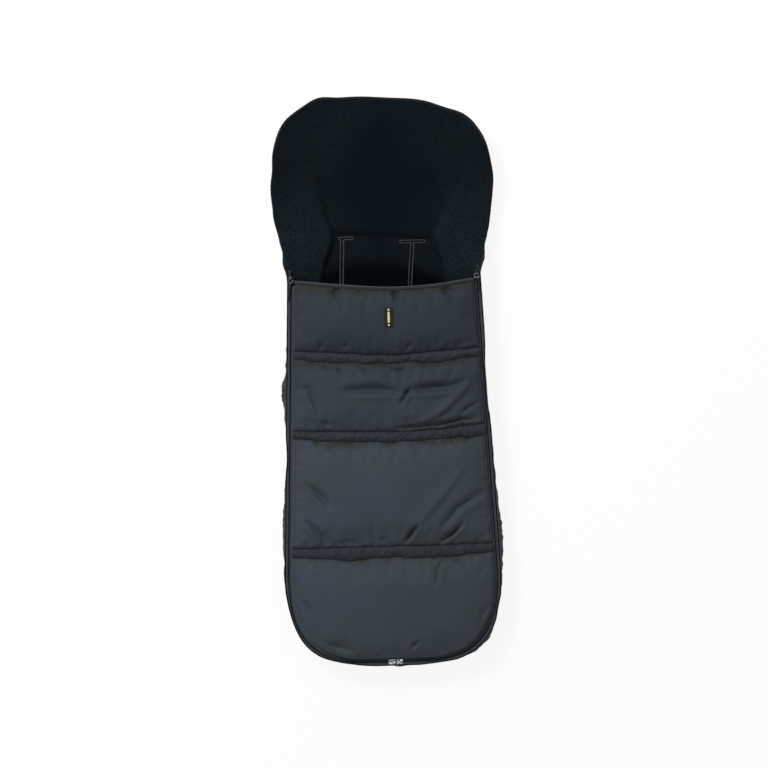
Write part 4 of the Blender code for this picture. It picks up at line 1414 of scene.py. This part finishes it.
def foldDepth(x, y, folds):
    # soft valleys, shallow at both ends, that fall gently from above and rise short below to a low ridge
    ends = foldForm["ends"]
    stays, tapers = foldForm["widths"]
    total = np.zeros(np.shape(x))
    for points, wide, deep in folds:
        points = np.array(points) / 1000
        lengths = np.linalg.norm(np.diff(points, axis=0), axis=1)
        nearest = np.full(np.shape(x), 9.0)
        along, above = np.zeros(np.shape(x)), np.zeros(np.shape(x), bool)
        runs = np.cumsum(lengths) - lengths
        for (x0, y0), (x1, y1), length, before in zip(points, points[1:], lengths, runs):
            run = np.clip(((x - x0) * (x1 - x0) + (y - y0) * (y1 - y0)) / length ** 2, 0, 1)
            away = np.hypot(x - x0 - run * (x1 - x0), y - y0 - run * (y1 - y0))
            along = np.where(away < nearest, (before + run * length) / lengths.sum(), along)
            left = (y - y0) * (x1 - x0) - (x - x0) * (y1 - y0) > 0
            above = np.where(away < nearest, left == (x1 > x0), above)
            nearest = np.minimum(away, nearest)
        taper = np.sin(math.pi * between(ends, 1 - ends, along)) ** foldForm["taperPower"]
        reach = wide / 10000 * (stays + tapers * taper)
        reach = reach * np.where(above, foldForm["above"], foldForm["below"])
        ridge = bell((nearest - reach * foldForm["ridgeOut"]) / (reach * foldForm["ridgeWidth"]))
        valley = bell(nearest / reach)
        valley = valley - np.where(above, foldForm["ridgeAbove"], foldForm["ridgeBelow"]) * ridge
        total += deep / 10000 * valley * taper
    return total


def gathers(x, y, edgeY, seed):
    # small ridges that run out of a gathered seam and fade
    phase = x / apron["gatherPitch"] + apron["gatherUneven"] * wander(x, x * 0 + seed, 45.0, seed)
    least, more = apron["gatherSizes"]
    size = least + more * wander(x, x * 0, 30.0, seed + 5)
    fall = np.exp(-np.abs(y - edgeY) / apron["gatherReach"] * apron["gatherFall"])
    return np.sin(phase * math.tau) * size * fall


def crownAt(u, v):
    full = (1 - np.abs(u) ** apron["acrossPower"]) * (1 - np.abs(2 * v - 1) ** apron["alongPower"])
    return apron["crown"] * np.clip(full, 0, 1) ** apron["crownPower"]


def panelPlan(index):
    # plan of a panel: u runs across it and v from its upper seam to its lower one
    gap, last = apron["seamGap"], index == 3
    topY = seams[index]["low"][2]
    lowY = muff["zipFootY"] + apron["footSide"] + gap if last else seams[index + 1]["top"][2]
    u = np.linspace(-1, 1, round(2 * muff["zipTopHalf"] / apron["gridStep"]) + 1)
    v = np.linspace(0, 1, round((topY - lowY) / apron["gridStep"]) + 1)
    if last:  # rows crowd towards the rounded foot
        v = np.sin(v * math.pi / 2) * apron["footCrowd"][0] + v * apron["footCrowd"][1]
    u, v = np.meshgrid(u, v)
    y = topY + (lowY - topY) * v
    for _ in range(3):  # the width depends on the height, which depends on the width
        x = u * apronHalf(y)
        top = seamLine(index, "low", x) - gap
        low = np.full(x.shape, lowY) if last else seamLine(index + 1, "top", x) + gap
        y = top + (low - top) * v
    return x, y, u, v


puffing = {
    "frames": 20,
    "slackFade": 4.0,
    "crownShare": 0.75,
    "cap": 0.010,
    "rise": 0.0022,
    "every": 2,
    # the cloth's own settings; it grows by 1.2% in the middle and 5% at the seams
    "cloth": {
        "quality": 6,
        "mass": 0.25,
        "tension_stiffness": 12.0,
        "compression_stiffness": 12.0,
        "shear_stiffness": 4.0,
        "bending_stiffness": 0.25,
        "air_damping": 2.0,
        "use_pressure": True,
        "uniform_pressure_force": 2.2,
        "vertex_group_mass": "held",
        "vertex_group_shrink": "slack",
        "shrink_min": -0.012,
        "shrink_max": -0.05,
    },
}


def puff(name, points):
    # a cloth held round its border, grown a little and blown up from below
    rows, columns = points.shape[:2]
    obj = newObject(name, newMesh(name, points, gridFaces(rows, columns, flip=True)))
    held = obj.vertex_groups.new(name="held")
    slack = obj.vertex_groups.new(name="slack")
    for i in range(rows):
        for j in range(columns):
            vertex = i * columns + j
            if i in (0, rows - 1) or j in (0, columns - 1):
                held.add([vertex], 1.0, "REPLACE")
            near = min(i, rows - 1 - i) / rows
            slack.add([vertex], max(0.0, 1 - near * puffing["slackFade"]), "REPLACE")
    cloth = obj.modifiers.new("cloth", "CLOTH").settings
    for key, value in puffing["cloth"].items():
        setattr(cloth, key, value)
    cloth.effector_weights.gravity = 0.0
    scene = bpy.context.scene
    for step in range(1, puffing["frames"] + 1):
        scene.frame_set(step)
    evaluated = obj.evaluated_get(bpy.context.evaluated_depsgraph_get())
    moved = np.array([v.co for v in evaluated.data.vertices]).reshape(points.shape)
    scene.frame_set(1)
    bpy.data.objects.remove(obj)
    return moved


def spread(coarse, rows, columns, size):
    # values on every second row and column, filled in between
    across = np.array([np.interp(np.arange(size[1]), columns, line) for line in coarse])
    return np.array([np.interp(np.arange(size[0]), rows, line) for line in across.T]).T


def puffed(name, points, start):
    # how far the blown-up cloth moves from the even shape, capped
    size = points.shape[:2]
    rows, columns = [sorted({*range(0, count, puffing["every"]), count - 1}) for count in size]
    shift = puff(name, start[np.ix_(rows, columns)]) - points[np.ix_(rows, columns)]
    length = np.linalg.norm(shift, axis=2, keepdims=True)
    shift *= np.minimum(1, puffing["cap"] / np.maximum(length, 1e-9))
    up = shift[..., 2]
    limit = np.where(up > 0, puffing["rise"], 2 * puffing["rise"])
    shift[..., 2] = limit * np.tanh(up / limit)
    return np.stack([spread(shift[..., k], rows, columns, size) for k in range(3)], 2)


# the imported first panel, on which the tab and its metal sit
firstPanel = {
    "top": muff["apronTopY"] - 0.007 - 0.0003,
    "low": bend["ys"][0] + 0.0085 + 0.0003,
    "acrossPower": 3.2,
    "alongPower": 2.6,
    "edge": 0.006,
    "crown": 0.012,
    "crownPower": 0.8,
}
badgeSpot = {"x": 0.006, "y": 0.109, "inner": 0.019, "outer": 0.034}


def firstPanelTop(x, y):
    top, low = firstPanel["top"], firstPanel["low"]
    along = np.clip(np.abs(y - (top + low) / 2) / ((top - low) / 2), 0, 1)
    across = np.abs(x) / zipHalf(y)
    full = (1 - across ** firstPanel["acrossPower"]) * (1 - along ** firstPanel["alongPower"])
    crown = firstPanel["crown"] * np.clip(full, 0, 1) ** firstPanel["crownPower"]
    return apronBase(x) + firstPanel["edge"] + crown


def makePanel(index):
    panel = panels[index]
    x, y, u, v = panelPlan(index)
    base = apronBase(x)
    inward = apronHalf(y) - np.abs(x)
    across = between(apron["sideHeight"], apron["shoulder"], ease(inward / apron["sideRise"]))
    fromEnds = np.minimum(v, 1 - v)
    fromSeam = fromEnds if index < 3 else v
    fromRoll = 1 - v if index == 0 else fromEnds
    rolled = ease(fromRoll * (y[0, 0] - y[-1, 0]) / apron["seamRoll"])
    low = base + np.minimum(across, between(apron["edge"], apron["shoulder"], rolled))
    crown = crownAt(u, v)
    points = places(x, y, low + crown)
    start = places(x, y, low + crown * puffing["crownShare"])
    points = points + puffed(panel["name"] + "Sim", points, start)
    offSides = np.clip(1 - np.abs(u) ** apron["fadePower"], 0, 1)
    ridges = np.zeros(x.shape)
    if index > 0:
        ridges += gathers(x, y, seamLine(index, "low", x), 2.0 + index)
    if index < 3:
        ridges += gathers(x, y, seamLine(index + 1, "top", x), 12.0 + index)
    lift = apron["gatherDepth"] * ridges * offSides * ease(fromSeam / apron["fadeIn"])
    deep = apron["foldScale"][index] * foldDepth(x, y, panel["folds"])
    lift -= deep * ease(fromEnds / apron["fadeIn"]) * offSides
    uneven = (apron["lumps"] * wander(x, y, 14.0, 20.0 + index)
              + apron["smallLumps"] * wander(x, y, 45.0, 40.0 + index))
    lift += uneven * crown / apron["crown"]
    points[..., 2] += lift
    if index == 0:
        far = np.hypot(x - badgeSpot["x"], y - badgeSpot["y"])
        flat = 1 - ease((far - badgeSpot["inner"]) / (badgeSpot["outer"] - badgeSpot["inner"]))
        points[..., 2] += (firstPanelTop(x, y) - points[..., 2]) * flat
    under = places(x, y, apronUnder(x))
    points[..., 2] = np.maximum(points[..., 2], under[..., 2] + apron["least"])
    parts = [sheetPart(points, under)]
    for column in (apron["stitchColumn"], -1 - apron["stitchColumn"]):
        parts.append(stitchPart(points[:, column] + (0, 0, apron["stitchUp"])))
    obj = standFor(makePiece(panel["name"], parts, ["apron", "thread"], 70), "apron_cloth", panel["node"])
    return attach(obj, panel["body"])


for index in range(4):
    makePanel(index)
    print("panel", index + 1, "ready")

bands = {
    "edgeHeight": 0.0012,
    "height": 0.0052,
    "least": 0.0006,
    "ruche": 0.00096,
    "rucheAtEdge": 0.15,
    "bulgePower": 0.6,
    "pitch": 0.0215,
    "lean": 0.5,
    "leanUneven": 0.9,
    "pitchUneven": 0.5,
    "coarse": 0.3,
    "finePitch": 0.0088,
    "finePitchUneven": 0.6,
    "fine": 0.6,
    "fineSizes": (0.75, 0.6),
    "fineLean": 1.3,
    "crumple": 0.8,
    "smallCrumple": 0.6,
    "crumpleAcross": 0.017,
    "rows": 14,
    "columns": 240,
}


def makeBand(fold):
    # a strip gathered on its two seams: its ridges stand across it and lean this way and that
    number = fold + 1
    s, u = np.meshgrid(np.linspace(0, 1, bands["rows"] + 1), np.linspace(-1, 1, bands["columns"] + 1),
                       indexing="ij")
    x = u * float(apronHalf(bend["ys"][fold]))
    top, low = seamLine(number, "top", x), seamLine(number, "low", x)
    y = top + (low - top) * s
    x = u * apronHalf(y)
    inside = np.sin(math.pi * s) ** bands["bulgePower"]
    lean = (s - 0.5) * (bands["lean"] + bands["leanUneven"] * wander(x, x * 0, 24.0, 3.0 + number))
    phase = x / bands["pitch"] + bands["pitchUneven"] * wander(x, x * 0, 22.0, number) + lean
    shift = bands["finePitchUneven"] * wander(x, x * 0, 60.0, 5.0 + number)
    finePhase = x / bands["finePitch"] + shift
    finePhase = finePhase - bands["fineLean"] * lean
    least, more = bands["fineSizes"]
    size = least + more * wander(x, s * 0.01, 30.0, 8.0 + number)
    ruche = bands["coarse"] * np.sin(phase * math.tau) + bands["fine"] * size * np.sin(finePhase * math.tau)
    across = s * bands["crumpleAcross"] + number
    ruche += (bands["crumple"] * wander(x, across, 85.0, 6.0)
              + bands["smallCrumple"] * wander(x, across, 190.0, 14.0))
    z = apronBase(x) + between(bands["edgeHeight"], bands["height"], inside)
    z += bands["ruche"] * ruche * between(bands["rucheAtEdge"], 1, inside)
    under = apronUnder(x)
    face = places(x, y, np.maximum(z, under + bands["least"]))
    parts = [sheetPart(face, places(x, y, under))]
    for row in (1, bands["rows"] - 1):
        parts.append(stitchPart(face[row]))
    obj = makePiece("gatheredBand%d" % number, parts, ["band", "thread"], 70)
    return bendAtFold(standFor(obj, "band_cloth", "gathered_band_%d" % number))


for fold in range(3):
    makeBand(fold)
print("bands ready")

hem = {
    "width": 0.006,
    "thickness": 0.0052,
    "uneven": 0.10,
    "inset": 0.0002,
    "lift": 0.0002,
    "past": 0.0004,
    "columns": 130,
    "sides": 12,
    "squareness": 0.6,
    "edge": 0.0009,
    "edgeSides": 6,
    "edgeIn": 0.0006,
    "edgeUp": 0.80,
    "edgeLift": 0.0004,
    "stitchIn": 0.62,
    "stitchUp": 0.995,
}


def squared(value):
    # a rounded corner drawn tighter
    return math.copysign(abs(value) ** hem["squareness"], value)


def makeHem():
    # the top edge turned over: a flat turning with a fine piped edge, whose paler colour is a painted
    # highlight
    x = np.linspace(-1, 1, hem["columns"] + 1) * (float(apronHalf(muff["apronTopY"])) - hem["inset"])
    y = seamLine(0, "top", x)
    base = apronBase(x) + hem["lift"]
    thick = hem["thickness"] * (1 + hem["uneven"] * wander(x, x * 0, 26.0, 6.0))
    rings = []
    for turn in np.linspace(0, math.tau, hem["sides"], endpoint=False):
        out = -hem["width"] / 2 + (hem["width"] / 2 + hem["past"]) * squared(math.cos(turn))
        up = 0.5 + 0.5 * squared(math.sin(turn))
        rings.append(places(x, y + out, base + thick * up))
    edge = places(x, y - hem["edgeIn"], base + thick * hem["edgeUp"] + hem["edgeLift"])
    top = places(x, y - hem["width"] * hem["stitchIn"], base + thick * hem["stitchUp"])
    piped = tubeAlong(edge, np.full(len(x), hem["edge"]), hem["edgeSides"], 2)
    parts = [tubePart(np.stack(rings, 1)), piped, stitchPart(top)]
    obj = makePiece("apronHem", parts, ["apron", "thread", "hem"])
    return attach(standFor(obj, "outer_cloth", "apron_top_binding"), "apron_top")


makeHem()

lining = {
    "step": 0.006,
    "roundSteps": 22,
    "footY": -0.476,
    "columns": 56,
    "crowd": 0.2,
    "followFrom": (0.10, 0.072),
    "hemGap": 0.0006,
    "topDrop": 0.0003,
    "bottomDrop": 0.0031,
    "lumps": 0.0005,
}
linings = (("liningTop", muff["apronTopY"], midPanels[0], (1, 2)), ("liningMiddle", *midPanels, (3,)),
           ("liningFoot", midPanels[1], lining["footY"], (4,)))


def makeLining(fold, name, top, low, numbers):
    levels = np.linspace(top, low, round((top - low) / lining["step"]) + 1)
    if fold == 2:
        turn = np.linspace(0, math.pi / 2, lining["roundSteps"])
        rounded = muff["footCurveY"] - (muff["footDepth"] - muff["margin"]) * np.sin(turn)
        levels = np.concatenate([levels[levels > muff["footCurveY"]], rounded])
    x, y = planGrid(levels, outlineHalf(levels, -muff["margin"]), lining["columns"], lining["crowd"])
    if fold == 0:
        toHem = seamLine(0, "top", x) - muff["apronTopY"] - lining["hemGap"]
        y = y + toHem * grown(y, lining["followFrom"])
    base = apronBase(x)
    soft = lining["lumps"] * wander(x, y, 30.0, 31.0)
    sheet = sheetPart(places(x, y, base - lining["topDrop"]),
                      places(x, y, base - lining["bottomDrop"] + soft))
    obj = makePiece(name, [sheet], ["fleece"])
    return bendAtFold(standFor(obj, "fleece", *["apron_lining_%d" % number for number in numbers]))


for fold, entry in enumerate(linings):
    makeLining(fold, *entry)
print("linings ready")


# Small tab under the badge, with a stitched edge

tab = {
    "rows": 24,
    "columns": 12,
    "cornerCut": 0.06,
    "cornerPower": 4,
    "bottom": 0.0004,
    "edge": 0.0006,
    "crown": 0.0011,
    "crownPower": 10,
    "frame": (0.80, 0.90),
    "stitchUp": 0.0018,
    "stitchStep": 0.001,
    "thread": {**thread, "pitch": 0.0022, "length": 0.0016, "width": 0.0005, "lift": 0.0},
}


def makeTab():
    low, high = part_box("badge_tab")
    centre = np.array(((low.x + high.x) / 2, (low.y + high.y) / 2))
    half = np.array(((high.x - low.x) / 2, (high.y - low.y) / 2))
    x, y = np.meshgrid(np.linspace(low.x, high.x, tab["columns"] + 1),
                       np.linspace(high.y, low.y, tab["rows"] + 1))
    acrossTab, upTab = (x - centre[0]) / half[0], (y - centre[1]) / half[1]
    corner = 1 - tab["cornerCut"] * (acrossTab * upTab) ** tab["cornerPower"]
    x, y = centre[0] + (x - centre[0]) * corner, centre[1] + (y - centre[1]) * corner
    border = np.maximum(np.abs(acrossTab), np.abs(upTab))
    onPanel = firstPanelTop(x, y)
    top = onPanel + tab["edge"] + tab["crown"] * np.sqrt(np.clip(1 - border ** tab["crownPower"], 0, 1))
    corners = np.array([(-1, 1), (-1, -1), (1, -1), (1, 1), (-1, 1)]) * (half * tab["frame"])
    loop = resample(corners + centre, tab["stitchStep"])
    row = raised(loop, firstPanelTop(loop[:, 0], loop[:, 1]) + tab["stitchUp"])
    parts = [sheetPart(places(x, y, top), places(x, y, onPanel + tab["bottom"])),
             stitchPart(row, sewn=tab["thread"])]
    obj = makePiece("badgeTab", parts, ["binding", "thread"], 50)
    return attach(standFor(obj, "binding", "badge_tab"), "apron_top")


makeTab()

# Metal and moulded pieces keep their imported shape
packed = {"badge_bar": "gold", "badge_stud_upper": "gold", "badge_stud_lower": "gold"}
for kind, finish in (("top_slider", "smoked"), ("foot_slider", "nickel"), ("pull_link", "smoked"),
                     ("pull_grip", "grip"), ("zip_stop", "stop")):
    packed.update({kind + "_left": finish, kind + "_right": finish})
for name, finish in packed.items():
    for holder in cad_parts[name].material_slots:
        holder.material = finishes[finish]
print("small pieces ready")


# Floor, light and camera

studio = {
    "metresPerPixel": 0.001728,
    "pixels": 768,
    "focusHeight": 0.045,
    "distance": 3.4,
    "sensor": 36.0,
    "lean": 1.75,
    "centre": (-0.0055, -0.0045),
    "world": 0.35,
    "keyPower": 87.0,
    "keySize": 1.2,
    "keyPlace": (-1.3, 1.6, 2.5),
    "floorReach": 30.0,
    "floorZ": -0.0004,
    "floorColour": (0.95, 0.95, 0.95, 1),
    "floorShade": 0.10,
}


def seenOrMirrored(tree):
    # 1 for what the camera sees, straight or in a reflection or through glass
    path = tree.nodes.new("ShaderNodeLightPath")
    seen, glossy, passed = [Value(tree, path.outputs["Is %s Ray" % kind])
                             for kind in ("Camera", "Glossy", "Transmission")]
    return seen.math("MAXIMUM", glossy.math("MAXIMUM", passed))


def makeFloor():
    corners = np.array([(-1, -1, 0), (1, -1, 0), (1, 1, 0), (-1, 1, 0)]) * studio["floorReach"]
    obj = newObject("floor", newMesh("floor", corners + (0, 0, studio["floorZ"]), [(0, 1, 2, 3)]))
    material = bpy.data.materials.new("paleFloor")
    material.use_nodes = True
    tree = material.node_tree
    tree.nodes.remove(tree.nodes["Principled BSDF"])
    matte = tree.nodes.new("ShaderNodeBsdfDiffuse")
    matte.inputs["Color"].default_value = studio["floorColour"]
    glow = tree.nodes.new("ShaderNodeEmission")
    glow.inputs["Color"].default_value = (1, 1, 1, 1)
    mix = tree.nodes.new("ShaderNodeMixShader")
    feed(mix.inputs[0], seenOrMirrored(tree) * (1 - studio["floorShade"]))
    tree.links.new(matte.outputs[0], mix.inputs[1])
    tree.links.new(glow.outputs[0], mix.inputs[2])
    tree.links.new(mix.outputs[0], tree.nodes["Material Output"].inputs["Surface"])
    obj.data.materials.append(material)


def makeWorld():
    world = bpy.data.worlds.new("studio")
    bpy.context.scene.world = world
    world.use_nodes = True
    sky = world.node_tree.nodes["Background"]
    sky.inputs["Color"].default_value = (1, 1, 1, 1)
    feed(sky.inputs["Strength"], seenOrMirrored(world.node_tree) * (1 - studio["world"]) + studio["world"])


def makeLamp():
    data = bpy.data.lights.new("softbox", "AREA")
    data.shape = "DISK"
    data.size = studio["keySize"]
    data.energy = studio["keyPower"]
    lamp = newObject("softbox", data)
    lamp.location = studio["keyPlace"]
    lamp.rotation_euler = (-Vector(studio["keyPlace"])).to_track_quat("-Z", "Y").to_euler()


def makeCamera():
    data = bpy.data.cameras.new("camera")
    data.sensor_width = studio["sensor"]
    data.lens = studio["sensor"] * studio["distance"] / (studio["pixels"] * studio["metresPerPixel"])
    data.clip_end = 100.0
    camera = newObject("camera", data)
    camera.location = (*studio["centre"], studio["distance"] + studio["focusHeight"])
    camera.rotation_euler = (0.0, 0.0, -math.radians(studio["lean"]))
    bpy.context.scene.camera = camera


makeFloor()
makeWorld()
makeLamp()
makeCamera()
bpy.context.scene.view_settings.view_transform = "Standard"
print("studio ready")
